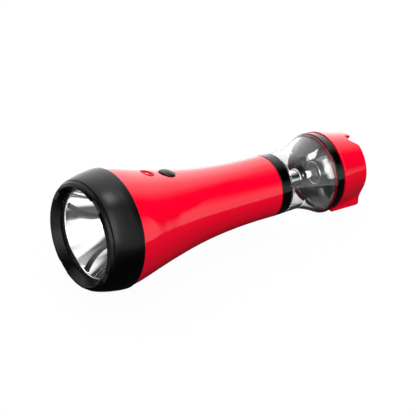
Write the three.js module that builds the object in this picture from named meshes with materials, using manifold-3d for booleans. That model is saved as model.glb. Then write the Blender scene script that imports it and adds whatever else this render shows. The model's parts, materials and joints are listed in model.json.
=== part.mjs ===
import * as THREE from 'three';
import { mergeVertices } from 'three/addons/utils/BufferGeometryUtils.js';
import Module from 'manifold-3d';

const wasm = await Module();
wasm.setup();

// Hand torch with a lantern at the tail and a folding crank in its rear face, in millimetres.
// The torch is drawn along +X from head to tail, with station zero where bezel and body meet,
// and is then laid down so that the bezel and the rear collar touch the ground.

// Clearances and overruns shared by every fit
const FIT = { gap: 0.3, overrun: 1, weld: 0.2 };

// Facets: even counts that share a flat at the top and at the bottom
const FACETS = { shell: 40, inner: 28, small: 20, tiny: 12, cap: 80 };

const DEGREE = Math.PI / 180;

const BEZEL = {
  length: 26.6,
  rearRadius: 44,
  rearBand: 1,
  waistSetback: 8,
  waistDrop: 1.2,
  shoulderSetback: 16.6,
  shoulderDrop: 2.3,
  grooveSetback: 22.2,
  grooveDrop: 3.9,
  grooveWidth: 0.7,
  grooveDepth: 0.5,
  noseSetback: 25,
  noseDrop: 5.6,
  crestDrop: 7.2,
  crestWidth: 1.1,
  crestRound: 0.5,
  lipSetback: 20,
  lipDrop: 11.7,
  lipLand: 0.6,
  pocketDrop: 8.8,
  pocketDepth: 3,
  socketDrop: 3.6,
  socketDepth: 15,
  shoulderRise: 1.2,
};

// Four shallow recesses in the front rim, each with one steep end, in degrees from the top line
const RECESS = { count: 4, start: 21, span: 21, ramp: 5, depth: 1.8, inset: 3.2, steps: 5 };

const LENS = { thickness: 2, gasketThickness: 1.2, gasketWidth: 2.1 };

const MIRROR = {
  flangeThickness: 1.2,
  flangeInset: 1.6,
  mouthInset: 0.1,
  neckRadius: 5,
  depth: 38,
  wall: 1.3,
  steps: 6,
};

const HEAD_LED = { baseRadius: 3.4, baseHeight: 1.4, domeRadius: 2.6, steps: 4, sink: 1.2 };

const LED_BOARD = { radius: 10, thickness: 1.6, sides: 6, notchRadius: 1.7, screwCircle: 9.3 };

const HEATSINK = {
  plateRadius: 13,
  plateThickness: 2.2,
  coreRadius: 6,
  finThickness: 1.2,
  finGap: 1.4,
  fins: 2,
};

const BODY = {
  length: 137.8,
  frontStep: 0.5,
  gripRadius: 23.2,
  wall: 2.2,
  profileSteps: 10,
  innerSteps: 5,
  spigotWall: 2.6,
  frontFlange: 2,
  bulkheadThickness: 2,
  bulkheadHole: 8,
  ribStation: 66,
  ribHole: 6.5,
};

// Swell of the body from the grip radius to the front radius, along the share of its length
const BODY_LENGTH_SHARES = [0, 0.08, 0.18, 0.3, 0.45, 0.6, 0.75, 0.88, 1];
const BODY_SWELL_SHARES = [1, 0.892, 0.719, 0.517, 0.3, 0.143, 0.049, 0.01, 0];

const BUTTON = {
  station: 47.8,
  radius: 6,
  proud: 0.5,
  crown: 1.5,
  crownSteps: 4,
  dishRadius: 8.2,
  dishDepth: 0.7,
  flangeExtra: 1.3,
  flangeThickness: 1,
  flangeDrop: 3.6,
  stemRadius: 1.8,
  stemLength: 1.6,
  travel: 1.2,
};

const SWITCH = { width: 6.2, plungerRadius: 1.5, plungerLength: 3.4, floor: 1 };

const INDICATOR = {
  station: 30.2,
  holeRadius: 2.7,
  dishRadius: 4.5,
  dishDepth: 1.1,
  lensRadius: 2.4,
  lensLength: 3.6,
  crown: 0.7,
  crownSteps: 3,
  recess: 0.6,
  ledRadius: 1.5,
  ledFlange: 1.9,
  ledFlangeHeight: 1,
};

const BOARD = { front: 25, width: 16, thickness: 1.6 };

const SCREW = {
  radius: 1,
  headRadius: 1.9,
  headHeight: 1.2,
  headEdge: 0.5,
  length: 5,
  slotWidth: 0.5,
  slotDepth: 0.6,
};

const LED_SCREW_BEARINGS = [90, 270];

const CELL = { radius: 9.1, tipRadius: 3, tipHeight: 1 };

const TRAY = {
  wall: 1.5,
  endThickness: 1.4,
  contactThickness: 0.6,
  contactRadius: 5,
  dimple: 1.2,
  rearPlay: 1.5,
};

const FRONT_COLLAR = { length: 8.6, proud: 0.1, taper: 0.3, wall: 2.1, edge: 0.5, spigotWall: 2 };

const GLOBE = {
  length: 37.7,
  collarStep: 0.1,
  throatDrop: 0.5,
  rearRadius: 30.2,
  wall: 2.3,
  flareStartShare: 0.4,
  flarePower: 2.3,
  steps: 7,
};

const POST = {
  flangeThickness: 1.6,
  radius: 6.5,
  shoulderRadius: 7,
  shoulderStation: 20.6,
  shoulderWidth: 1.4,
  tipRadius: 3.7,
  tipStation: 26.2,
  fillet: 2.2,
};

const LANTERN_LED = { radius: 2.6, rimRadius: 3, rimHeight: 1, length: 9, steps: 4 };

const REAR_COLLAR = { length: 7.2, proud: 0.6, taper: 0.9, wall: 1.4, edge: 0.5 };

const CAP = {
  length: 26.3,
  taper: 5.4,
  lip: 0.8,
  lipWidth: 0.8,
  lipFall: 1,
  edgeRound: 0.6,
  spigotWall: 2.5,
  cavityStep: 1.5,
  ledgeThickness: 1.5,
  ledgeWidth: 1.2,
  rimWidth: 2.2,
  recessDepth: 7.8,
  bossRadius: 2.5,
  bossInset: 2.1,
  bossLength: 6,
  rows: 3,
  roundRows: 3,
};

// Anti roll block under the cap: flat sides and a flat base, faired into the cone
const LUG = {
  sideInset: 11.7,
  baseInset: 3.1,
  rearRound: 2,
  sideBlend: 5.5,
  baseBlend: 0.4,
  cornerBlend: 1.2,
};

// Where the fairing grows from base to side, in degrees from the bottom line
const LUG_FAIRING = { start: 34, end: 46 };

// Finger scoop in the rear rim, in degrees from the top line towards the near side
const SCOOP = { depth: 5.9, start: 3.2, level: 17, end: 33, rampSteps: 3 };

const BOWL = {
  setback: 1.3,
  sidePlay: 0.4,
  rimWidth: 0.7,
  wall: 0.9,
  depth: 4.2,
  ringRadius: 9,
  ringWall: 1,
  ringSetback: 0.6,
  steps: 4,
};

// Tooth heights and play of the gears, the heights as shares of the module
const GEAR = { module: 0.7, backlash: 0.14, addendumShare: 0.78, dedendumShare: 1.12, flankSteps: 3 };
const PRESSURE_ANGLE = 25 * DEGREE;

const TEETH = { drive: 30, stepPinion: 10, stepWheel: 26, generatorPinion: 10 };

// Running clearance of every shaft and pin
const RUNNING = 0.08;

const TRAIN = {
  plateThickness: 1.3,
  faceWidth: 2.2,
  wheelWidth: 2,
  levelGap: 0.4,
  hubRadius: 4.2,
  hubLength: 1.3,
  pinRadius: 1,
  pillarRadius: 2.1,
  bushWall: 1.1,
};

const STEP_BEARING = 62;
const SCREW_BEARINGS = [125, 210, 295];

const GENERATOR = {
  distance: 14.2,
  radius: 9.4,
  canHeight: 4,
  wall: 0.6,
  coverThickness: 0.5,
  ringWall: 0.8,
  poles: 6,
  poleWidth: 1.6,
  poleHeight: 1.4,
  rotorRadius: 5.2,
  rotorHeight: 2.6,
  arborRadius: 0.8,
  coilWidth: 3,
  coilLength: 1.3,
};

const CRANK = {
  parkAngle: -9,
  discThickness: 1.8,
  discPlay: 0.4,
  shaftRadius: 2.4,
  shaftFloor: 0.8,
  hubRadius: 5.3,
  hubLength: 6.4,
};

const ARM = {
  width: 9.4,
  sink: 0.6,
  tipRadius: 21.7,
  padRadius: 6.2,
  hingeOffset: 9.5,
  hingeDepth: 1.5,
  tangWidth: 5,
  earReach: 2.4,
  pinRadius: 0.8,
  pinInset: 0.2,
  barrelSteps: 6,
  panelDepth: 0.8,
  panelWidth: 5,
  panelEnd: 5.4,
  nailStep: 1,
  nailLength: 2.2,
  tipSteps: 4,
};

const KNOB = {
  offset: 12.8,
  cupOffset: 13.4,
  cupRadius: 6.5,
  cupWall: 0.9,
  cupFloor: 0.8,
  length: 7.4,
  radius: 5.4,
  footRadius: 4.7,
  footHeight: 0.5,
  flareHeight: 2.5,
  edge: 0.6,
};

const RIVET = { radius: 1.3, headRadius: 2.5, headHeight: 1, inset: 0.2 };

const COLOURS = {
  red: 0xe8062c,
  black: 0x0b0b0c,
  satinBlack: 0x2a2a2b,
  chrome: 0xd9dadc,
  clear: 0xf2f5f6,
  rubber: 0x1c1d1e,
  board: 0x1f5a37,
  brass: 0xc9a24c,
  steel: 0xa7abb0,
  gear: 0xe9e6dc,
  lamp: 0xfbf6dc,
  signal: 0xf2566c,
  cell: 0x3f7fb5,
  copper: 0xb56a3a,
  alloy: 0xb9bdc2,
};

function finish(colour, roughness, metalness) {
  return new THREE.MeshStandardMaterial({ color: colour, roughness, metalness });
}

function clearFinish() {
  const material = finish(COLOURS.clear, 0.05, 0);
  material.transparent = true;
  material.opacity = 0.35;
  return material;
}

// A three geometry as a closed solid, with shared corners merged and collapsed faces left out
function toSolid(geometry) {
  const bare = geometry.clone();
  bare.deleteAttribute('normal');
  bare.deleteAttribute('uv');
  const merged = mergeVertices(bare);
  const index = merged.index.array;
  const kept = [];
  for (let i = 0; i < index.length; i += 3) {
    const [a, b, c] = [index[i], index[i + 1], index[i + 2]];
    if (a !== b && b !== c && c !== a) kept.push(a, b, c);
  }
  const vertProperties = Float32Array.from(merged.attributes.position.array);
  if (signedVolume(vertProperties, kept) < 0) kept.reverse();
  return new wasm.Manifold(new wasm.Mesh({ numProp: 3, vertProperties, triVerts: Uint32Array.from(kept) }));
}

// Positive when the faces look outwards
function signedVolume(positions, index) {
  const corner = (i) => new THREE.Vector3().fromArray(positions, 3 * index[i]);
  let total = 0;
  for (let i = 0; i < index.length; i += 3) total += corner(i).dot(corner(i + 1).cross(corner(i + 2)));
  return total;
}

function toMesh(name, solid, material) {
  const { vertProperties, triVerts } = solid.getMesh();
  const geometry = new THREE.BufferGeometry();
  geometry.setAttribute('position', new THREE.BufferAttribute(Float32Array.from(vertProperties), 3));
  geometry.setIndex(new THREE.BufferAttribute(Uint32Array.from(triVerts), 1));
  geometry.computeVertexNormals();
  const mesh = new THREE.Mesh(geometry, material);
  mesh.name = name;
  return mesh;
}

// Turns a profile of [station, radius] pairs about the X axis. A profile that leaves the axis
// and comes back to it makes a solid piece; any other is closed on itself and makes a ring.
function revolve(profile, facets = FACETS.shell) {
  const points = profile.map(([station, radius]) => new THREE.Vector2(radius, station));
  const last = points[points.length - 1];
  if (points[0].x !== 0 || last.x !== 0) points.push(points[0].clone());
  const geometry = new THREE.LatheGeometry(points, facets, Math.PI / facets);
  geometry.rotateZ(-Math.PI / 2);
  return toSolid(geometry);
}

function rod(front, rear, radius, facets = FACETS.small) {
  return revolve([[front, 0], [front, radius], [rear, radius], [rear, 0]], facets);
}

function tube(front, rear, radius, bore, facets = FACETS.small) {
  return revolve([[front, radius], [rear, radius], [rear, bore], [front, bore]], facets);
}

// A box from its two opposite corners
function block(low, high) {
  const size = high.map((value, i) => value - low[i]);
  const geometry = new THREE.BoxGeometry(...size);
  geometry.translate(...low.map((value, i) => value + size[i] / 2));
  return toSolid(geometry);
}

// A flat outline of [y, z] points carried along X from one station to another
function extrudeAlongX(outline, front, rear) {
  const shape = new THREE.Shape(outline.map(([y, z]) => new THREE.Vector2(y, z)));
  const geometry = new THREE.ExtrudeGeometry(shape, { depth: rear - front, bevelEnabled: false });
  const turn = new THREE.Matrix4();
  turn.makeBasis(new THREE.Vector3(0, 1, 0), new THREE.Vector3(0, 0, 1), new THREE.Vector3(1, 0, 0));
  geometry.applyMatrix4(turn);
  geometry.translate(front, 0, 0);
  return toSolid(geometry);
}

// A flat outline of [x, z] points carried along Y, half the width to each side
function extrudeAcross(outline, width) {
  const shape = new THREE.Shape(outline.map(([x, z]) => new THREE.Vector2(x, z)));
  const geometry = new THREE.ExtrudeGeometry(shape, { depth: width, bevelEnabled: false });
  geometry.rotateX(Math.PI / 2);
  geometry.translate(0, width / 2, 0);
  return toSolid(geometry);
}

// Skins a row of rings with equal counts of points and closes both ends with a fan
function loft(rings) {
  const count = rings[0].length;
  const index = [];
  for (let row = 0; row + 1 < rings.length; row += 1) {
    for (let i = 0; i < count; i += 1) {
      const [a, b] = [row * count + i, row * count + ((i + 1) % count)];
      index.push(a, b, b + count, a, b + count, a + count);
    }
  }
  const lastRow = (rings.length - 1) * count;
  for (let i = 1; i + 1 < count; i += 1) {
    index.push(0, i + 1, i, lastRow, lastRow + i, lastRow + i + 1);
  }
  const geometry = new THREE.BufferGeometry();
  geometry.setAttribute('position', new THREE.Float32BufferAttribute(rings.flat(2), 3));
  geometry.setIndex(index);
  return toSolid(geometry);
}

// A point at a station, a radius and an angle from the top line towards the near side, which is -Y
function polar(station, radius, angle) {
  return [station, -radius * Math.sin(angle), radius * Math.cos(angle)];
}

function placed(solid, radius, bearing) {
  return solid.translate(polar(0, radius, bearing * DEGREE));
}

// A ring sector through pairs of an angle in degrees and a floor station
function sector(inner, outer, floors, roof) {
  return loft(floors.map(([degrees, floor]) => {
    const angle = degrees * DEGREE;
    return [
      polar(floor, inner, angle),
      polar(floor, outer, angle),
      polar(roof, outer, angle),
      polar(roof, inner, angle),
    ];
  }));
}

// Points of a quarter round dome that starts at a radius and ends on the axis
function domeProfile(base, tip, radius, steps) {
  const points = [];
  for (let i = 0; i <= steps; i += 1) {
    const angle = ((Math.PI / 2) * i) / steps;
    points.push([base + (tip - base) * Math.sin(angle), i === steps ? 0 : radius * Math.cos(angle)]);
  }
  return points;
}

// Equal bearings round a circle, in degrees
function evenBearings(count, start = 0) {
  return Array.from({ length: count }, (unused, i) => start + (i * 360) / count);
}

// Stations along the torch, each worked out from the lengths of the pieces before it
// Radii of the head, all from the widest edge of the bezel
const waistRadius = BEZEL.rearRadius - BEZEL.waistDrop;
const shoulderRadius = BEZEL.rearRadius - BEZEL.shoulderDrop;
const grooveRadius = BEZEL.rearRadius - BEZEL.grooveDrop;
const noseRadius = BEZEL.rearRadius - BEZEL.noseDrop;
const crestRadius = BEZEL.rearRadius - BEZEL.crestDrop;
const lipRadius = BEZEL.rearRadius - BEZEL.lipDrop;
const pocketRadius = BEZEL.rearRadius - BEZEL.pocketDrop;
const socketRadius = BEZEL.rearRadius - BEZEL.socketDrop;
const mirrorFlangeRadius = socketRadius - MIRROR.flangeInset;
const mirrorMouthRadius = lipRadius - MIRROR.mouthInset;
const bodyFrontRadius = BEZEL.rearRadius - BODY.frontStep;

// Radii of the grip end: the front collar follows the grip and the globe follows the collar
const collarFrontRadius = BODY.gripRadius + FRONT_COLLAR.proud;
const collarRearRadius = collarFrontRadius - FRONT_COLLAR.taper;
const collarBore = collarRearRadius - FRONT_COLLAR.wall;
const globeFrontRadius = collarRearRadius - GLOBE.collarStep;
const globeThroatRadius = globeFrontRadius - GLOBE.throatDrop;

// Radii of the tail, all from the wide end of the globe
const rearCollarFrontRadius = GLOBE.rearRadius + REAR_COLLAR.proud;
const rearCollarRearRadius = rearCollarFrontRadius - REAR_COLLAR.taper;
const rearCollarBore = rearCollarRearRadius - REAR_COLLAR.wall;
const capFrontRadius = rearCollarRearRadius;
const capRearRadius = capFrontRadius - CAP.taper;
const capSpigotRadius = rearCollarBore - FIT.gap;
const capSpigotBore = capSpigotRadius - CAP.spigotWall;
const cavityRadius = capSpigotBore - CAP.cavityStep;
const bossCircle = cavityRadius - CAP.bossInset;
const recessRadius = capRearRadius - CAP.rimWidth;
const ledgeBore = recessRadius - CAP.ledgeWidth;
const lugHalfWidth = capFrontRadius - LUG.sideInset;
const lugDrop = capFrontRadius - LUG.baseInset;
const bowlRadius = capSpigotBore - BOWL.sidePlay;

const collarFront = BODY.length;
const collarRear = collarFront + FRONT_COLLAR.length;
const globeRear = collarRear + GLOBE.length;
const rearCollarRear = globeRear + REAR_COLLAR.length;
const capFront = rearCollarRear + FIT.gap;
const capRear = rearCollarRear + CAP.length;
const lensFront = -BEZEL.lipSetback + FIT.gap;
const lensRear = lensFront + LENS.thickness;
const gasketRear = lensRear + FIT.gap + LENS.gasketThickness;
const mirrorFront = gasketRear + FIT.gap;
const mirrorFlangeRear = mirrorFront + MIRROR.flangeThickness;
const neckStation = mirrorFront + MIRROR.depth;
const ledBoardFront = neckStation + HEAD_LED.sink + FIT.gap;
const ledBoardRear = ledBoardFront + LED_BOARD.thickness;
const heatsinkFront = ledBoardRear + FIT.gap;
const heatsinkLength = HEATSINK.plateThickness + HEATSINK.fins * (HEATSINK.finThickness + HEATSINK.finGap);
const bulkheadStation = heatsinkFront + heatsinkLength + FIT.gap;

// Outer line of the body as a smooth curve through its shares
function bodyProfile(steps) {
  const swell = bodyFrontRadius - BODY.gripRadius;
  const span = BODY.length - 2 * FIT.gap;
  const curve = new THREE.SplineCurve(BODY_LENGTH_SHARES.map((share, i) => (
    new THREE.Vector2(FIT.gap + span * share, BODY.gripRadius + swell * BODY_SWELL_SHARES[i])
  )));
  return curve.getPoints(steps).map((point) => [point.x, point.y]);
}

function bodyRadiusAt(station) {
  const line = bodyProfile(BODY.profileSteps);
  const next = line.findIndex(([x]) => x >= station);
  const [[x0, r0], [x1, r1]] = [line[next - 1], line[next]];
  return r0 + ((r1 - r0) * (station - x0)) / (x1 - x0);
}

function bodySlopeAt(station) {
  const reach = BUTTON.radius;
  return Math.atan2(bodyRadiusAt(station - reach) - bodyRadiusAt(station + reach), 2 * reach);
}

// Bezel: a convex black ring with a groove, a raised front crest and four recesses in it
function bezelRing() {
  const crest = -BEZEL.length;
  const groove = -BEZEL.grooveSetback;
  const solid = revolve([
    [crest, crestRadius - BEZEL.crestWidth / 2],
    [crest + BEZEL.crestRound, crestRadius],
    [-BEZEL.noseSetback, noseRadius],
    [groove - BEZEL.grooveWidth, grooveRadius - BEZEL.grooveDepth],
    [groove - BEZEL.grooveWidth / 2, grooveRadius - 2 * BEZEL.grooveDepth],
    [groove, grooveRadius],
    [-BEZEL.shoulderSetback, shoulderRadius],
    [-BEZEL.waistSetback, waistRadius],
    [-BEZEL.rearBand, BEZEL.rearRadius],
    [0, BEZEL.rearRadius],
    [0, socketRadius],
    [-BEZEL.socketDepth, socketRadius],
    [-BEZEL.socketDepth - BEZEL.shoulderRise, socketRadius - BEZEL.shoulderRise],
    [-BEZEL.lipSetback + BEZEL.pocketDepth, pocketRadius],
    [-BEZEL.lipSetback, pocketRadius],
    [-BEZEL.lipSetback, lipRadius],
    [-BEZEL.lipSetback - BEZEL.lipLand, lipRadius],
    [crest + BEZEL.crestRound, crestRadius - BEZEL.crestWidth],
  ]);
  return evenBearings(RECESS.count, RECESS.start).reduce((ring, start) => {
    const floors = [[start, crest + RECESS.depth]];
    for (let i = 1; i <= RECESS.steps; i += 1) {
      floors.push([start + ((RECESS.span - RECESS.ramp) * i) / RECESS.steps, crest + RECESS.depth]);
    }
    floors.push([start + RECESS.span, crest]);
    const inner = crestRadius - RECESS.inset;
    return ring.subtract(sector(inner, noseRadius + FIT.overrun, floors, crest - FIT.overrun));
  }, solid);
}

function frontLens() {
  return rod(lensFront, lensRear, pocketRadius - FIT.gap, FACETS.inner);
}

function lensGasket() {
  const radius = pocketRadius - FIT.gap;
  return tube(lensRear + FIT.gap, gasketRear, radius, radius - LENS.gasketWidth, FACETS.inner);
}

// Parabolic mirror: an even wall between two parabolas, with a flat flange at its mouth
function headReflector() {
  const bowl = (radius) => (radius ** 2 - MIRROR.neckRadius ** 2) * MIRROR.depth;
  const inner = [];
  const outer = [];
  for (let i = 0; i <= MIRROR.steps; i += 1) {
    const radius = MIRROR.neckRadius + ((mirrorMouthRadius - MIRROR.neckRadius) * i) / MIRROR.steps;
    const station = neckStation - bowl(radius) / (mirrorMouthRadius ** 2 - MIRROR.neckRadius ** 2);
    inner.push([station, radius]);
    outer.unshift([Math.max(station, mirrorFlangeRear), radius + MIRROR.wall]);
  }
  return revolve(
    [[mirrorFront, mirrorFlangeRadius], [mirrorFlangeRear, mirrorFlangeRadius], ...outer, ...inner],
    FACETS.inner,
  );
}

// Emitter of the head lamp: its dome faces forward through the neck of the mirror
function headLed() {
  const rear = ledBoardFront - FIT.gap;
  const base = rear - HEAD_LED.baseHeight;
  const dome = domeProfile(base, base - HEAD_LED.domeRadius, HEAD_LED.domeRadius, HEAD_LED.steps).reverse();
  const foot = [[base, HEAD_LED.baseRadius], [rear, HEAD_LED.baseRadius], [rear, 0]];
  return revolve([...dome, ...foot], FACETS.small);
}

// Six sided lamp board with a half round notch at each screw
function headLedBoard() {
  const plate = rod(ledBoardFront, ledBoardRear, LED_BOARD.radius, LED_BOARD.sides);
  return LED_SCREW_BEARINGS.reduce((board, bearing) => {
    const [front, rear] = [ledBoardFront - FIT.overrun, ledBoardRear + FIT.overrun];
    const notch = rod(front, rear, LED_BOARD.notchRadius, FACETS.tiny);
    return board.subtract(placed(notch, LED_BOARD.screwCircle, bearing));
  }, plate);
}

// Turned heat sink: a front plate and round fins on a core, drilled for two screws
function headHeatsink() {
  const profile = [[heatsinkFront, 0], [heatsinkFront, HEATSINK.plateRadius]];
  let station = heatsinkFront + HEATSINK.plateThickness;
  profile.push([station, HEATSINK.plateRadius]);
  for (let fin = 0; fin < HEATSINK.fins; fin += 1) {
    profile.push([station, HEATSINK.coreRadius], [station + HEATSINK.finGap, HEATSINK.coreRadius]);
    station += HEATSINK.finGap;
    profile.push([station, HEATSINK.plateRadius], [station + HEATSINK.finThickness, HEATSINK.plateRadius]);
    station += HEATSINK.finThickness;
  }
  profile.push([station, 0]);
  return LED_SCREW_BEARINGS.reduce((sink, bearing) => {
    return sink.subtract(placed(screwHole(heatsinkFront), LED_BOARD.screwCircle, bearing));
  }, revolve(profile, FACETS.inner));
}

// Clearance hole for a screw that is driven rearwards into a face
function screwHole(face) {
  return rod(face - FIT.overrun, face + SCREW.length, SCREW.radius + FIT.gap, FACETS.tiny);
}

// Pan head screw along X with its slotted head at the front of the station it clamps
function screwAt(station) {
  const shank = revolve(
    [
      [-SCREW.headHeight, 0],
      [-SCREW.headHeight, SCREW.headRadius - SCREW.headEdge],
      [-SCREW.headHeight + SCREW.headEdge, SCREW.headRadius],
      [0, SCREW.headRadius],
      [0, SCREW.radius],
      [SCREW.length - SCREW.radius, SCREW.radius],
      [SCREW.length, 0],
    ],
    FACETS.tiny,
  );
  const reach = SCREW.headRadius + FIT.overrun;
  const slot = block(
    [-SCREW.headHeight - FIT.overrun, -reach, -SCREW.slotWidth / 2],
    [-SCREW.headHeight + SCREW.slotDepth, reach, SCREW.slotWidth / 2],
  );
  return shank.subtract(slot).translate([station - FIT.gap, 0, 0]);
}

// Moves a solid drawn on a surface plane at zero, with +Z outwards, to the body's top line
function onTopLine(solid, station) {
  return solid.rotate([0, bodySlopeAt(station) / DEGREE, 0]).translate([station, 0, bodyRadiusAt(station)]);
}

// Turns a profile of [height, radius] pairs about the Z axis
function upright(profile, facets) {
  return revolve(profile, facets).rotate([0, -90, 0]);
}

// Body: a swelling tube with a front spigot, a bulkhead, a rib and a rear spigot
function bodyShell() {
  const outer = bodyProfile(BODY.profileSteps);
  const inner = bodyProfile(BODY.innerSteps).map(([x, radius]) => [x, radius - BODY.wall]).reverse();
  const flangeRear = FIT.gap + BODY.frontFlange;
  const spigotRadius = socketRadius - FIT.gap;
  const spigotBore = spigotRadius - BODY.spigotWall;
  const rearRadius = collarBore - FIT.gap;
  const rearBore = rearRadius - FRONT_COLLAR.spigotWall;
  const rearFlange = BODY.length - FIT.gap - BODY.frontFlange;
  const slot = block(
    [BOARD.front, -BOARD.width / 2 - FIT.gap, boardBottom - FIT.gap],
    [BODY.ribStation - FIT.gap, BOARD.width / 2 + FIT.gap, boardTop + FIT.gap],
  );
  return revolve([...outer, ...inner])
    .add(tube(mirrorFlangeRear + FIT.gap, flangeRear, spigotRadius, spigotBore, FACETS.shell))
    .add(tube(FIT.gap, flangeRear, bodyFrontRadius - BODY.wall / 2, spigotBore, FACETS.shell))
    .add(bodyWall(bulkheadStation, BODY.bulkheadHole).subtract(slot))
    .add(bodyWall(BODY.ribStation, BODY.ribHole))
    .add(tube(rearFlange, collarFront + FRONT_COLLAR.length / 2, rearRadius, rearBore, FACETS.shell))
    .add(tube(rearFlange, BODY.length - FIT.gap, BODY.gripRadius - BODY.wall / 2, rearBore, FACETS.shell))
    .subtract(onTopLine(buttonOpening(), BUTTON.station))
    .subtract(onTopLine(indicatorOpening(), INDICATOR.station));
}

// Cross wall inside the body with a round opening
function bodyWall(station, hole) {
  const rear = station + BODY.bulkheadThickness;
  return tube(station, rear, bodyRadiusAt(rear) - BODY.wall / 2, hole, FACETS.shell);
}

// Round well for the button with a shallow dish about it
function buttonOpening() {
  const hole = BUTTON.radius + FIT.gap;
  return upright([
    [-BODY.wall - BUTTON.radius / 2, 0],
    [-BODY.wall - BUTTON.radius / 2, hole],
    [-BUTTON.dishDepth, hole],
    [-BUTTON.dishDepth, hole + FIT.gap],
    [FIT.gap, BUTTON.dishRadius],
    [BODY.wall, BUTTON.dishRadius],
    [BODY.wall, 0],
  ], FACETS.small);
}

function indicatorOpening() {
  return upright([
    [-BODY.wall - INDICATOR.holeRadius, 0],
    [-BODY.wall - INDICATOR.holeRadius, INDICATOR.holeRadius],
    [-INDICATOR.dishDepth, INDICATOR.holeRadius],
    [-INDICATOR.dishDepth / 2, INDICATOR.dishRadius - INDICATOR.dishDepth / 2],
    [FIT.gap, INDICATOR.dishRadius],
    [BODY.wall, INDICATOR.dishRadius],
    [BODY.wall, 0],
  ], FACETS.small);
}

const flangeBottom = -BUTTON.flangeDrop - BUTTON.flangeThickness;
const stemBottom = flangeBottom - BUTTON.stemLength;
const plungerBottom = stemBottom - FIT.gap - SWITCH.plungerLength;
const switchTop = stemBottom - BUTTON.travel - 2 * FIT.gap;
const wellFloor = plungerBottom - BUTTON.travel - FIT.gap;

// Top of the control board, right under the lowest corner of the tilted switch
const switchSlope = bodySlopeAt(BUTTON.station);
const switchDrop = (SWITCH.floor - wellFloor) * Math.cos(switchSlope)
  + (SWITCH.width / 2) * Math.sin(switchSlope);
const boardTop = bodyRadiusAt(BUTTON.station) - switchDrop - FIT.gap;
const boardBottom = boardTop - BOARD.thickness;

// Domed button with a retaining flange under the wall and a stem over the switch
function switchButton() {
  return upright([
    [stemBottom, 0],
    [stemBottom, BUTTON.stemRadius],
    [flangeBottom, BUTTON.stemRadius],
    [flangeBottom, BUTTON.radius + BUTTON.flangeExtra],
    [-BUTTON.flangeDrop, BUTTON.radius + BUTTON.flangeExtra],
    [-BUTTON.flangeDrop, BUTTON.radius],
    ...domeProfile(BUTTON.proud, BUTTON.proud + BUTTON.crown, BUTTON.radius, BUTTON.crownSteps),
  ], FACETS.small);
}

function switchPlunger() {
  return rod(plungerBottom, stemBottom - FIT.gap, SWITCH.plungerRadius, FACETS.tiny).rotate([0, -90, 0]);
}

// Switch case with a blind well that the plunger slides in
function switchHousing() {
  const half = SWITCH.width / 2;
  const well = rod(wellFloor, 0, SWITCH.plungerRadius + FIT.gap, FACETS.tiny).rotate([0, -90, 0]);
  return block([-half, -half, wellFloor - SWITCH.floor], [half, half, switchTop]).subtract(well);
}

function controlBoard() {
  return block(
    [BOARD.front + FIT.gap, -BOARD.width / 2, boardBottom],
    [BODY.ribStation - 2 * FIT.gap, BOARD.width / 2, boardTop],
  );
}

function indicatorLens() {
  const face = -INDICATOR.recess;
  return upright([
    [face - INDICATOR.lensLength, 0],
    [face - INDICATOR.lensLength, INDICATOR.lensRadius],
    ...domeProfile(face - INDICATOR.crown, face, INDICATOR.lensRadius, INDICATOR.crownSteps),
  ], FACETS.tiny);
}

// Signal lamp that stands on the board right under the foot of the indicator lens
function indicatorLed() {
  const drop = INDICATOR.recess + INDICATOR.lensLength + 2 * FIT.gap;
  const slope = bodySlopeAt(INDICATOR.station);
  const top = bodyRadiusAt(INDICATOR.station) - drop * Math.cos(slope);
  const foot = boardTop + FIT.gap;
  return upright([
    [foot, 0],
    [foot, INDICATOR.ledFlange],
    [foot + INDICATOR.ledFlangeHeight, INDICATOR.ledFlange],
    [foot + INDICATOR.ledFlangeHeight, INDICATOR.ledRadius],
    ...domeProfile(top - INDICATOR.ledRadius, top, INDICATOR.ledRadius, INDICATOR.crownSteps),
  ], FACETS.tiny).translate([INDICATOR.station - drop * Math.sin(slope), 0, 0]);
}

const postFlangeFront = collarFront + FRONT_COLLAR.length / 2 + FIT.gap;
const postFlangeRear = postFlangeFront + POST.flangeThickness;
const postTip = collarRear + POST.tipStation;

// The cell fills the room between the rib and the foot of the lantern post
const trayFront = BODY.ribStation + BODY.bulkheadThickness + FIT.gap + TRAY.endThickness;
const contactFront = trayFront + FIT.gap + TRAY.contactThickness;
const cellFront = contactFront + TRAY.dimple + FIT.gap;
const trayRear = postFlangeFront - TRAY.rearPlay - TRAY.endThickness;
const contactRear = trayRear - FIT.gap - TRAY.contactThickness;
const cellRear = contactRear - FIT.gap - TRAY.dimple - CELL.tipHeight;

function batteryCell() {
  return revolve([
    [cellFront, 0],
    [cellFront, CELL.radius],
    [cellRear, CELL.radius],
    [cellRear, CELL.tipRadius],
    [cellRear + CELL.tipHeight, CELL.tipRadius],
    [cellRear + CELL.tipHeight, 0],
  ], FACETS.inner);
}

// Contact disc with a dimple towards the cell; the direction is +1 when the cell lies behind it
function batteryContact(station, direction) {
  const face = (offset) => station + direction * offset;
  return revolve([
    [face(-TRAY.contactThickness), 0],
    [face(-TRAY.contactThickness), TRAY.contactRadius],
    [face(0), TRAY.contactRadius],
    [face(0), TRAY.contactRadius / 2],
    [face(TRAY.dimple), TRAY.contactRadius / 4],
    [face(TRAY.dimple), 0],
  ], FACETS.tiny);
}

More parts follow.
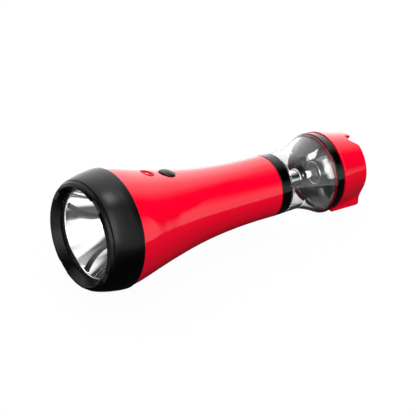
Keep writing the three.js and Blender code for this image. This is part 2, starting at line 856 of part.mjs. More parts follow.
// Half round tray under the cell with an end plate at each end that centres it in the grip
function batteryTray() {
  const bore = CELL.radius + FIT.gap;
  const radius = bore + TRAY.wall;
  const trough = tube(trayFront - FIT.weld, trayRear + FIT.weld, radius, bore, FACETS.inner);
  const above = block(
    [trayFront - FIT.overrun, -radius - FIT.overrun, 0],
    [trayRear + FIT.overrun, radius + FIT.overrun, radius + FIT.overrun],
  );
  const endRadius = (station) => bodyRadiusAt(station) - BODY.wall - 2 * FIT.gap;
  const front = rod(trayFront - TRAY.endThickness, trayFront, endRadius(trayFront), FACETS.inner);
  const rear = rod(trayRear, trayRear + TRAY.endThickness,
    collarBore - FRONT_COLLAR.spigotWall - 2 * FIT.gap, FACETS.inner);
  return trough.subtract(above).add(front).add(rear);
}

function frontCollar() {
  return collar(collarFront, collarRear, collarFrontRadius, collarRearRadius, collarBore, FRONT_COLLAR.edge);
}

function rearCollar() {
  return collar(globeRear, rearCollarRear, rearCollarFrontRadius, rearCollarRearRadius, rearCollarBore,
    REAR_COLLAR.edge);
}

// Ring with chamfered outer edges
function collar(front, rear, frontRadius, rearRadius, bore, edge) {
  return revolve([
    [front, bore],
    [front, frontRadius - edge],
    [front + edge, frontRadius],
    [rear - edge, rearRadius],
    [rear, rearRadius - edge],
    [rear, bore],
  ]);
}

// Outer radius of the globe along its length: a slight taper, then a flare
function globeRadiusAt(share) {
  const neck = Math.min(share / GLOBE.flareStartShare, 1);
  const into = Math.max((share - GLOBE.flareStartShare) / (1 - GLOBE.flareStartShare), 0);
  return globeFrontRadius + (globeThroatRadius - globeFrontRadius) * neck
    + (GLOBE.rearRadius - globeThroatRadius) * into ** GLOBE.flarePower;
}

// Globe: a clear flaring tube with a spigot that enters the front collar
function lanternGlobe() {
  const [front, rear] = [collarRear + FIT.gap, globeRear - FIT.gap];
  const outer = [];
  for (let i = 0; i <= GLOBE.steps; i += 1) {
    const share = i / GLOBE.steps;
    outer.push([front + (rear - front) * share, globeRadiusAt(share)]);
  }
  const inner = outer.slice(1).map(([station, radius]) => [station, radius - GLOBE.wall]).reverse();
  const spigotRadius = collarBore - FIT.gap;
  const spigotBore = spigotRadius - FRONT_COLLAR.spigotWall;
  const spigotFront = postFlangeRear + FIT.gap;
  return revolve([
    [spigotFront, spigotRadius],
    [front, spigotRadius],
    ...outer,
    ...inner,
    [front + GLOBE.wall, globeRadiusAt(0) - GLOBE.wall],
    [front + GLOBE.wall, spigotBore],
    [spigotFront, spigotBore],
  ]);
}

// Lantern post: a flange held in the front collar, a stem, a shoulder and a tapered tip
function lanternPost() {
  const shoulder = collarRear + POST.shoulderStation;
  return revolve([
    [postFlangeFront, 0],
    [postFlangeFront, collarBore - FIT.gap],
    [postFlangeRear, collarBore - FIT.gap],
    [postFlangeRear, POST.radius + POST.fillet],
    [postFlangeRear + POST.fillet, POST.radius],
    [shoulder, POST.radius],
    [shoulder, POST.shoulderRadius],
    [shoulder + POST.shoulderWidth, POST.shoulderRadius],
    [shoulder + POST.shoulderWidth, POST.radius],
    [postTip, POST.tipRadius],
    [postTip, 0],
  ], FACETS.inner);
}

function lanternLed() {
  const foot = postTip + FIT.gap;
  const tip = foot + LANTERN_LED.length;
  return revolve([
    [foot, 0],
    [foot, LANTERN_LED.rimRadius],
    [foot + LANTERN_LED.rimHeight, LANTERN_LED.rimRadius],
    [foot + LANTERN_LED.rimHeight, LANTERN_LED.radius],
    ...domeProfile(tip - LANTERN_LED.radius, tip, LANTERN_LED.radius, LANTERN_LED.steps),
  ], FACETS.small);
}

const bowlMouth = globeRear + BOWL.setback;
const bowlRear = bowlMouth + BOWL.depth + BOWL.wall;

// Lantern bowl: a shallow parabolic dish with a ring round its middle
function lanternBowl() {
  const mouthRadius = bowlRadius - BOWL.rimWidth;
  const floorAt = (radius) => bowlMouth + BOWL.depth * (1 - (radius / mouthRadius) ** 2);
  const front = [];
  const back = [];
  for (let i = 0; i <= BOWL.steps; i += 1) {
    const radius = BOWL.ringRadius + ((mouthRadius - BOWL.ringRadius) * i) / BOWL.steps;
    front.unshift([floorAt(radius), radius]);
    back.push([floorAt(radius) + BOWL.wall, radius]);
  }
  const ringFront = globeRear + BOWL.ringSetback;
  const ringBore = BOWL.ringRadius - BOWL.ringWall;
  return revolve([
    [bowlRear, 0],
    ...back,
    [bowlMouth + BOWL.wall, bowlRadius],
    [bowlMouth, bowlRadius],
    ...front,
    [ringFront, BOWL.ringRadius],
    [ringFront, ringBore],
    [floorAt(ringBore), ringBore],
    [floorAt(0), 0],
  ], FACETS.shell);
}

// Larger of two radii with a fairing where they are nearly equal
function fairedMax(a, b, blend) {
  const overlap = Math.max(blend - Math.abs(a - b), 0);
  return Math.max(a, b) + (overlap * overlap) / (4 * blend);
}

function smoothStep(low, high, value) {
  const share = Math.min(Math.max((value - low) / (high - low), 0), 1);
  return share * share * (3 - 2 * share);
}

// Radius of the cap's outside at a station and an angle from the bottom line, with a lip at its front
function capRadiusAt(station, angle) {
  const share = (station - rearCollarRear) / CAP.length;
  const fairing = smoothStep(LUG_FAIRING.start, LUG_FAIRING.end, Math.abs(angle) / DEGREE);
  const pastLip = Math.max(station - capFront - CAP.lipWidth, 0);
  const lip = Math.max(CAP.lip * (1 - pastLip / CAP.lipFall), 0) * fairing;
  const cone = capFrontRadius + (capRearRadius - capFrontRadius) * share + lip;
  if (Math.cos(angle) <= 0) return cone;
  const intoRound = Math.max(station - (capRear - LUG.rearRound), 0);
  const drop = lugDrop - LUG.rearRound + Math.sqrt(LUG.rearRound ** 2 - intoRound ** 2);
  const side = lugHalfWidth / Math.max(Math.abs(Math.sin(angle)), lugHalfWidth / (2 * capFrontRadius));
  const base = drop / Math.cos(angle);
  const lug = -fairedMax(-side, -base, LUG.cornerBlend);
  return fairedMax(cone, lug, LUG.baseBlend + (LUG.sideBlend - LUG.baseBlend) * fairing);
}

// Stations of the cap's rows: over the lip, even along the cone, closer over the rear edge of the lug
function capStations() {
  const roundStart = capRear - LUG.rearRound;
  const lipRear = capFront + CAP.lipWidth + CAP.lipFall;
  const stations = [capFront, capFront + CAP.lipWidth];
  for (let i = 0; i <= CAP.rows; i += 1) {
    stations.push(lipRear + ((roundStart - lipRear) * i) / CAP.rows);
  }
  for (let i = 1; i < CAP.roundRows; i += 1) {
    const swing = Math.sin((Math.PI * i) / (2 * CAP.roundRows));
    stations.push(roundStart + (LUG.rearRound - CAP.edgeRound) * swing);
  }
  return [...stations, capRear - CAP.edgeRound, capRear];
}

// Tail cap: the faired outside, a spigot, the chamber, the crank recess, bosses and the scoop
function tailCap() {
  const rows = capStations().map((station) => {
    const inset = Math.max(station - (capRear - CAP.edgeRound), 0);
    return Array.from({ length: FACETS.cap }, (unused, i) => {
      const angle = ((i + 0.5) * 2 * Math.PI) / FACETS.cap;
      const fromBottom = Math.abs(Math.PI - angle);
      return polar(station, capRadiusAt(station - inset, fromBottom) - inset, angle);
    });
  });
  const chamberFront = plateRear + FIT.gap;
  const ledgeRear = capRear - CAP.recessDepth;
  const hollow = revolve([
    [bowlMouth - BOWL.setback, 0],
    [bowlMouth - BOWL.setback, capSpigotBore],
    [chamberFront, capSpigotBore],
    [chamberFront, cavityRadius],
    [ledgeRear - CAP.ledgeThickness, cavityRadius],
    [ledgeRear - CAP.ledgeThickness, ledgeBore],
    [ledgeRear, ledgeBore],
    [ledgeRear, recessRadius],
    [capRear + FIT.overrun, recessRadius],
    [capRear + FIT.overrun, 0],
  ]);
  const spigotFront = bowlMouth - BOWL.setback / 2;
  const outside = loft(rows).add(rod(spigotFront, capFront + FIT.overrun, capSpigotRadius, FACETS.shell));
  const scoop = sector(recessRadius - FIT.overrun, capFrontRadius + FIT.overrun, scoopFloors(),
    capRear + FIT.overrun);
  return SCREW_BEARINGS.reduce((cap, bearing) => {
    const boss = rod(chamberFront, chamberFront + CAP.bossLength, CAP.bossRadius, FACETS.tiny);
    return cap.add(placed(boss, bossCircle, bearing))
      .subtract(placed(screwHole(chamberFront), bossCircle, bearing));
  }, outside.subtract(hollow).subtract(scoop));
}

// Steep at one end, level in the middle, ramped up to the rim at the other end
function scoopFloors() {
  const floor = capRear - SCOOP.depth;
  const floors = [[SCOOP.start, floor], [SCOOP.level, floor]];
  for (let i = 1; i <= SCOOP.rampSteps; i += 1) {
    const share = i / SCOOP.rampSteps;
    const rise = SCOOP.depth * smoothStep(0, 1, share);
    floors.push([SCOOP.level + (SCOOP.end - SCOOP.level) * share, floor + rise]);
  }
  return floors;
}

const plateFront = bowlRear + FIT.gap;
const plateRear = plateFront + TRAIN.plateThickness;
const canFront = plateRear + FIT.gap;
const canRear = canFront + GENERATOR.canHeight;
const coverFront = canRear + FIT.gap;
const coverRear = coverFront + GENERATOR.coverThickness;
const wheelFront = coverRear + FIT.gap;
const wheelRear = wheelFront + TRAIN.wheelWidth;
const pinionFront = wheelRear + TRAIN.levelGap;
const pinionRear = pinionFront + TRAIN.faceWidth;
const discFront = capRear - CAP.recessDepth + FIT.gap;
const discRear = discFront + CRANK.discThickness;
const armBottom = discRear + FIT.gap;
const armTop = capRear - ARM.sink;
const hingeStation = armTop - ARM.hingeDepth;

function pitchRadius(teeth) {
  return (GEAR.module * teeth) / 2;
}

function centreDistance(teethA, teethB) {
  return pitchRadius(teethA) + pitchRadius(teethB);
}

// Gear positions: the step gear round the shaft, then the generator where it meets the step wheel
const stepDistance = centreDistance(TEETH.drive, TEETH.stepPinion);
const generatorReach = centreDistance(TEETH.stepWheel, TEETH.generatorPinion);
const bearingSpread = Math.acos(
  (stepDistance ** 2 + GENERATOR.distance ** 2 - generatorReach ** 2)
    / (2 * stepDistance * GENERATOR.distance),
) / DEGREE;
const generatorBearing = STEP_BEARING - bearingSpread;

// Bearing in degrees of the generator as seen from the step gear
function bearingFromStepToGenerator() {
  const [, y0, z0] = polar(0, stepDistance, STEP_BEARING * DEGREE);
  const [, y1, z1] = polar(0, GENERATOR.distance, generatorBearing * DEGREE);
  return Math.atan2(-(y1 - y0), z1 - z0) / DEGREE;
}

function involute(angle) {
  return Math.tan(angle) - angle;
}

// Gear blank with involute flanks, the middle of one tooth at the given bearing
function gearSolid(teeth, front, rear, bearing) {
  const pitch = pitchRadius(teeth);
  const base = pitch * Math.cos(PRESSURE_ANGLE);
  const tip = pitch + GEAR.module * GEAR.addendumShare;
  const root = pitch - GEAR.module * GEAR.dedendumShare;
  const halfAtPitch = ((Math.PI * GEAR.module) / 2 - GEAR.backlash) / (2 * pitch);
  const halfAt = (radius) => (
    halfAtPitch + involute(PRESSURE_ANGLE) - involute(Math.acos(Math.min(base / radius, 1)))
  );
  const outline = [];
  evenBearings(teeth, bearing).forEach((degrees) => {
    for (let i = 0; i <= 2 * GEAR.flankSteps + 1; i += 1) {
      const rising = i <= GEAR.flankSteps;
      const share = (rising ? i : 2 * GEAR.flankSteps + 1 - i) / GEAR.flankSteps;
      const radius = root + (tip - root) * share;
      const angle = degrees * DEGREE + halfAt(radius) * (rising ? -1 : 1);
      outline.push(polar(0, radius, angle).slice(1));
    }
  });
  return extrudeAlongX(outline.reverse(), front, rear);
}

// Plate that carries the gear train, with a pillar round the step pin
function gearPlate() {
  const passage = (radius) => rod(plateFront - FIT.overrun, wheelFront, radius, FACETS.tiny);
  const pillar = rod(plateRear - FIT.weld, wheelFront - FIT.gap, TRAIN.pillarRadius, FACETS.tiny);
  const bushRadius = CRANK.shaftRadius + RUNNING + TRAIN.bushWall;
  const plate = rod(plateFront, plateRear, capSpigotBore - FIT.gap, FACETS.shell)
    .subtract(rod(plateFront - FIT.overrun, plateRear + FIT.overrun, bushRadius + RUNNING))
    .add(placed(pillar, stepDistance, STEP_BEARING))
    .subtract(placed(passage(TRAIN.pinRadius + RUNNING), stepDistance, STEP_BEARING));
  return SCREW_BEARINGS.reduce(
    (left, bearing) => left.subtract(placed(passage(SCREW.radius + FIT.gap), bossCircle, bearing)),
    plate,
  );
}

function shaftBush() {
  const bore = CRANK.shaftRadius + RUNNING;
  return tube(plateFront, coverRear, bore + TRAIN.bushWall, bore);
}

function crankShaft() {
  return rod(plateFront + FIT.gap, discRear - CRANK.shaftFloor - FIT.gap, CRANK.shaftRadius);
}

function driveGear() {
  const bore = rod(pinionFront - FIT.overrun, discFront, CRANK.shaftRadius + RUNNING);
  return gearSolid(TEETH.drive, pinionFront, pinionRear, STEP_BEARING)
    .add(rod(pinionRear - FIT.weld, pinionRear + TRAIN.hubLength, TRAIN.hubRadius))
    .subtract(bore);
}

// Step gear: the small pinion meets the drive gear, the large wheel meets the generator pinion
function stepGear() {
  const toothBearing = STEP_BEARING + 180 + 180 / TEETH.stepPinion;
  const pinion = gearSolid(TEETH.stepPinion, wheelRear, pinionRear, toothBearing);
  const wheel = gearSolid(TEETH.stepWheel, wheelFront, wheelRear, bearingFromStepToGenerator());
  const collarRadius = pitchRadius(TEETH.stepPinion) - GEAR.module * GEAR.dedendumShare;
  const neck = rod(wheelRear - FIT.weld, pinionFront, collarRadius);
  const above = tube(wheelRear, pinionFront, collarRadius * 2, collarRadius);
  const boreRadius = TRAIN.pinRadius + RUNNING;
  const bore = rod(wheelFront - FIT.overrun, pinionRear + FIT.overrun, boreRadius, FACETS.tiny);
  const gear = pinion.subtract(above).add(wheel).add(neck).subtract(bore);
  return placed(gear, stepDistance, STEP_BEARING);
}

function stepPin() {
  return placed(rod(plateFront + FIT.gap, pinionRear + FIT.gap, TRAIN.pinRadius, FACETS.tiny), stepDistance,
    STEP_BEARING);
}

function atGenerator(solid) {
  return placed(solid, GENERATOR.distance, generatorBearing);
}

// Open can of the generator with a bearing hole in its floor
function generatorCan() {
  return atGenerator(revolve([
    [canFront, GENERATOR.arborRadius + RUNNING],
    [canFront, GENERATOR.radius],
    [canRear, GENERATOR.radius],
    [canRear, GENERATOR.radius - GENERATOR.wall],
    [canFront + GENERATOR.wall, GENERATOR.radius - GENERATOR.wall],
    [canFront + GENERATOR.wall, GENERATOR.arborRadius + RUNNING],
  ], FACETS.inner));
}

const poleFront = canFront + (GENERATOR.canHeight + GENERATOR.wall - GENERATOR.poleHeight) / 2;
const statorRadius = GENERATOR.radius - GENERATOR.wall - FIT.gap;
const statorBore = statorRadius - GENERATOR.ringWall;
const poleFace = GENERATOR.rotorRadius + FIT.gap;

// Iron ring with poles that point at the rotor
function generatorStator() {
  const ring = tube(poleFront, poleFront + GENERATOR.poleHeight, statorRadius, statorBore, FACETS.inner);
  const half = GENERATOR.poleWidth / 2;
  const poleRear = poleFront + GENERATOR.poleHeight;
  const pole = block([poleFront, -half, poleFace], [poleRear, half, statorBore + FIT.weld]);
  return atGenerator(evenBearings(GENERATOR.poles).reduce(
    (stator, bearing) => stator.add(pole.rotate([bearing, 0, 0])),
    ring,
  ));
}

// Coil round one pole
function generatorCoil(bearing) {
  const grow = (GENERATOR.coilWidth - GENERATOR.poleWidth) / 2;
  const middle = (poleFace + statorBore) / 2;
  const shell = (spread, reach) => block(
    [poleFront - spread, -GENERATOR.poleWidth / 2 - spread, middle - reach],
    [poleFront + GENERATOR.poleHeight + spread, GENERATOR.poleWidth / 2 + spread, middle + reach],
  );
  const coil = shell(grow, GENERATOR.coilLength / 2).subtract(shell(FIT.gap, GENERATOR.coilLength));
  return atGenerator(coil.rotate([bearing, 0, 0]));
}

function generatorRotor() {
  const front = canFront + GENERATOR.wall + FIT.gap;
  return atGenerator(tube(front, front + GENERATOR.rotorHeight, GENERATOR.rotorRadius,
    GENERATOR.arborRadius + RUNNING, FACETS.inner));
}

function generatorCover() {
  const bore = GENERATOR.arborRadius + FIT.gap;
  return atGenerator(tube(coverFront, coverRear, GENERATOR.radius, bore, FACETS.inner));
}

// Pinion and arbor of the generator in one piece
function generatorPinion() {
  const toothBearing = bearingFromStepToGenerator() + 180 + 180 / TEETH.generatorPinion;
  const pinion = gearSolid(TEETH.generatorPinion, wheelFront, wheelRear, toothBearing);
  return atGenerator(pinion.add(rod(canFront + FIT.gap, wheelRear, GENERATOR.arborRadius, FACETS.tiny)));
}

// Outline in the X Z plane: a round eye about the hinge pin on a foot with the given corners
function hingeOutline(foot) {
  const arc = [];
  for (let i = 0; i <= ARM.barrelSteps; i += 1) {
    const angle = foot.from + ((foot.to - foot.from) * i) / ARM.barrelSteps;
    arc.push([
      hingeStation + ARM.hingeDepth * Math.cos(angle),
      -ARM.hingeOffset + ARM.hingeDepth * Math.sin(angle),
    ]);
  }
  return [...arc, ...foot.corners];
}

function acrossHinge(radius, length) {
  return rod(-length / 2, length / 2, radius, FACETS.tiny).rotate([0, 0, 90])
    .translate([hingeStation, 0, -ARM.hingeOffset]);
}

// Crank disc: a cover that turns in the rear recess, with a hub, a cup for the knob and two ears
function crankDisc() {
  const cupRear = capRear - CAP.recessDepth + FIT.gap + CRANK.discThickness;
  const cupFront = armBottom - FIT.gap - KNOB.length - FIT.gap;
  const atCup = (solid) => solid.translate([0, 0, KNOB.cupOffset]);
  const cup = atCup(rod(cupFront - KNOB.cupFloor, discFront + FIT.weld, KNOB.cupRadius + KNOB.cupWall));
  const pocket = atCup(rod(cupFront, cupRear + FIT.overrun, KNOB.cupRadius));
  const ears = extrudeAcross(hingeOutline({
    from: -Math.PI / 2,
    to: Math.PI / 2,
    corners: [
      [discRear - FIT.weld, -ARM.hingeOffset + ARM.earReach],
      [discRear - FIT.weld, -ARM.hingeOffset - ARM.earReach],
    ],
  }), ARM.width);
  const slotHalf = ARM.tangWidth / 2 + FIT.gap;
  const slot = block(
    [discRear, -slotHalf, -ARM.hingeOffset - ARM.width],
    [armTop + FIT.overrun, slotHalf, -ARM.hingeOffset + ARM.width],
  );
  const shaftHole = rod(discFront - CRANK.hubLength - FIT.overrun, discRear - CRANK.shaftFloor,
    CRANK.shaftRadius + RUNNING);
  return rod(discFront, discRear, recessRadius - CRANK.discPlay, FACETS.shell)
    .add(rod(discFront - CRANK.hubLength, discFront + FIT.weld, CRANK.hubRadius))
    .add(cup)
    .subtract(pocket)
    .subtract(shaftHole)
    .add(ears.subtract(slot))
    .subtract(acrossHinge(ARM.pinRadius + RUNNING, 2 * ARM.width))
    .rotate([CRANK.parkAngle, 0, 0]);
}

// Folding arm: a bar with a pad over the knob, a tang on the hinge pin and a step for a nail
function crankArm() {
  const half = ARM.width / 2;
  const start = -ARM.hingeOffset + ARM.earReach + FIT.gap;
  const tipAngle = Math.asin(half / ARM.tipRadius);
  const outline = [[-half, start], [half, start]];
  for (let i = 0; i <= ARM.tipSteps; i += 1) {
    const angle = tipAngle - (2 * tipAngle * i) / ARM.tipSteps;
    outline.push([ARM.tipRadius * Math.sin(angle), ARM.tipRadius * Math.cos(angle)]);
  }
  const pad = rod(armBottom, armTop, ARM.padRadius).translate([0, 0, KNOB.offset]);
  const tang = extrudeAcross(hingeOutline({
    from: 0,
    to: -Math.PI,
    corners: [
      [hingeStation - ARM.hingeDepth, start + FIT.overrun],
      [hingeStation + ARM.hingeDepth, start + FIT.overrun],
    ],
  }), ARM.tangWidth);
  const panel = block(
    [armTop - ARM.panelDepth, -ARM.panelWidth / 2, start + ARM.earReach],
    [armTop + FIT.overrun, ARM.panelWidth / 2, ARM.panelEnd],
  );
  const nail = block(
    [armTop - ARM.nailStep, -ARM.width, ARM.tipRadius - ARM.nailLength],
    [armTop + FIT.overrun, ARM.width, ARM.tipRadius + FIT.overrun],
  );
  const rivetHole = rod(armBottom - FIT.overrun, armTop + FIT.overrun, RIVET.radius + RUNNING, FACETS.tiny);
  return extrudeAlongX(outline, armBottom, armTop)
    .add(pad)
    .add(tang)
    .subtract(panel)
    .subtract(nail)
    .subtract(rivetHole.translate([0, 0, KNOB.offset]))
    .subtract(acrossHinge(ARM.pinRadius + RUNNING, 2 * ARM.width))
    .rotate([CRANK.parkAngle, 0, 0]);
}

function hingePin() {
  return acrossHinge(ARM.pinRadius, ARM.width - 2 * ARM.pinInset).rotate([CRANK.parkAngle, 0, 0]);
}

const knobTop = armBottom - FIT.gap;
const knobFoot = knobTop - KNOB.length;

// Knob: a short grip that flares from its foot, bored for the rivet and its head
function crankKnob() {
  const bore = RIVET.radius + RUNNING;
  const headRoom = RIVET.headRadius + FIT.gap;
  const headDepth = knobFoot + RIVET.inset + RIVET.headHeight + FIT.gap;
  return revolve([
    [headDepth, bore],
    [headDepth, headRoom],
    [knobFoot, headRoom],
    [knobFoot, KNOB.footRadius - KNOB.footHeight],
    [knobFoot + KNOB.footHeight, KNOB.footRadius],
    [knobFoot + KNOB.flareHeight, KNOB.radius],
    [knobTop - KNOB.edge, KNOB.radius],
    [knobTop, KNOB.radius - KNOB.edge],
    [knobTop, bore],
  ]).translate([0, 0, KNOB.offset]).rotate([CRANK.parkAngle, 0, 0]);
}

// Rivet that the knob turns on, its head sunk in the foot of the knob
function knobRivet() {
  const headFront = knobFoot + RIVET.inset;
  return rod(headFront, headFront + RIVET.headHeight, RIVET.headRadius, FACETS.tiny)
    .add(rod(headFront, armTop - RIVET.inset, RIVET.radius, FACETS.tiny))
    .translate([0, 0, KNOB.offset])
    .rotate([CRANK.parkAngle, 0, 0]);
}

function headPieces() {
  const ledScrew = (bearing) => placed(screwAt(ledBoardFront), LED_BOARD.screwCircle, bearing);
  return [
    toMesh('bezel_ring', bezelRing(), finish(COLOURS.black, 0.38, 0)),
    toMesh('front_lens', frontLens(), clearFinish()),
    toMesh('lens_gasket', lensGasket(), finish(COLOURS.rubber, 0.8, 0)),
    toMesh('head_reflector', headReflector(), finish(COLOURS.chrome, 0.08, 1)),
    toMesh('head_led', headLed(), finish(COLOURS.lamp, 0.3, 0)),
    toMesh('head_led_board', headLedBoard(), finish(COLOURS.board, 0.6, 0)),
    toMesh('head_heatsink', headHeatsink(), finish(COLOURS.alloy, 0.45, 1)),
    ...LED_SCREW_BEARINGS.map((bearing, i) => (
      toMesh(`led_screw_${i + 1}`, ledScrew(bearing), finish(COLOURS.steel, 0.35, 1))
    )),
  ];
}

function bodyPieces() {
  const onButton = (solid) => onTopLine(solid, BUTTON.station);
  return [
    toMesh('body_shell', bodyShell(), finish(COLOURS.red, 0.25, 0)),
    toMesh('switch_button', onButton(switchButton()), finish(COLOURS.black, 0.45, 0)),
    toMesh('switch_plunger', onButton(switchPlunger()), finish(COLOURS.brass, 0.35, 1)),
    toMesh('switch_housing', onButton(switchHousing()), finish(COLOURS.satinBlack, 0.6, 0)),
    toMesh('control_board', controlBoard(), finish(COLOURS.board, 0.6, 0)),
    toMesh('indicator_lens', onTopLine(indicatorLens(), INDICATOR.station), finish(COLOURS.signal, 0.2, 0)),
    toMesh('indicator_led', indicatorLed(), finish(COLOURS.signal, 0.3, 0)),
    toMesh('battery_tray', batteryTray(), finish(COLOURS.satinBlack, 0.6, 0)),
    toMesh('battery_contact_front', batteryContact(contactFront, 1), finish(COLOURS.brass, 0.35, 1)),
    toMesh('battery_contact_rear', batteryContact(contactRear, -1), finish(COLOURS.brass, 0.35, 1)),
    toMesh('battery_cell', batteryCell(), finish(COLOURS.cell, 0.4, 0)),
  ];
}

function lanternPieces() {
  return [
    toMesh('front_collar', frontCollar(), finish(COLOURS.black, 0.2, 0)),
    toMesh('lantern_globe', lanternGlobe(), clearFinish()),
    toMesh('lantern_post', lanternPost(), finish(COLOURS.chrome, 0.15, 1)),
    toMesh('lantern_led', lanternLed(), finish(COLOURS.lamp, 0.3, 0)),
    toMesh('lantern_bowl', lanternBowl(), finish(COLOURS.chrome, 0.08, 1)),
    toMesh('rear_collar', rearCollar(), finish(COLOURS.black, 0.2, 0)),
  ];
}

function generatorPieces() {
  return [
    toMesh('gear_plate', gearPlate(), finish(COLOURS.alloy, 0.45, 1)),
    toMesh('shaft_bush', shaftBush(), finish(COLOURS.brass, 0.35, 1)),
    toMesh('generator_can', generatorCan(), finish(COLOURS.steel, 0.35, 1)),
    toMesh('generator_stator', generatorStator(), finish(COLOURS.steel, 0.5, 1)),
    ...evenBearings(GENERATOR.poles).map((bearing, i) => (
      toMesh(`generator_coil_${i + 1}`, generatorCoil(bearing), finish(COLOURS.copper, 0.4, 1))
    )),
    toMesh('generator_cover', generatorCover(), finish(COLOURS.steel, 0.35, 1)),
    toMesh('generator_rotor', generatorRotor(), finish(COLOURS.satinBlack, 0.4, 0)),
    toMesh('generator_pinion', generatorPinion(), finish(COLOURS.brass, 0.35, 1)),
    toMesh('step_gear', stepGear(), finish(COLOURS.gear, 0.5, 0)),
    toMesh('step_pin', stepPin(), finish(COLOURS.steel, 0.3, 1)),
    toMesh('drive_gear', driveGear(), finish(COLOURS.gear, 0.5, 0)),
    ...SCREW_BEARINGS.map((bearing, i) => (
      toMesh(`plate_screw_${i + 1}`, placed(screwAt(plateFront), bossCircle, bearing),
        finish(COLOURS.steel, 0.35, 1))
    )),
  ];
}

function tailPieces() {
  return [
    toMesh('tail_cap', tailCap(), finish(COLOURS.red, 0.25, 0)),
    toMesh('crank_disc', crankDisc(), finish(COLOURS.red, 0.3, 0)),
    toMesh('crank_shaft', crankShaft(), finish(COLOURS.steel, 0.3, 1)),
    toMesh('crank_arm', crankArm(), finish(COLOURS.black, 0.4, 0)),
    toMesh('hinge_pin', hingePin(), finish(COLOURS.steel, 0.3, 1)),
    toMesh('crank_knob', crankKnob(), finish(COLOURS.satinBlack, 0.5, 0)),
    toMesh('knob_rivet', knobRivet(), finish(COLOURS.steel, 0.3, 1)),
  ];
}

// Lays the torch down on its bezel and rear collar, then centres it with its lowest face at zero
function buildTorch() {
  const torch = new THREE.Group();
  const flat = Math.cos(Math.PI / FACETS.shell);
  const fall = (BEZEL.rearRadius - rearCollarFrontRadius) * flat;
  torch.rotation.y = Math.atan2(fall, globeRear + REAR_COLLAR.edge);
  torch.add(...headPieces(), ...bodyPieces(), ...lanternPieces(), ...generatorPieces(), ...tailPieces());
  torch.updateMatrixWorld(true);
  const box = new THREE.Box3().setFromObject(torch, true);
  const middle = box.getCenter(new THREE.Vector3());
  torch.position.set(-middle.x, -middle.y, -box.min.z);
  const root = new THREE.Group();
  root.add(torch);
  root.updateMatrixWorld(true);
  return root;
}

export default buildTorch();
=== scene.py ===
"""Hand torch with a lantern globe and a folding crank, dressed for rendering.

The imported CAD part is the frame. Every visible piece gets a smooth surface made of a grid of
points, worked out in the torch's own axes and then laid down with the frame. The pieces inside
keep their CAD shape and get a material. Sizes of pieces are in millimetres.
"""

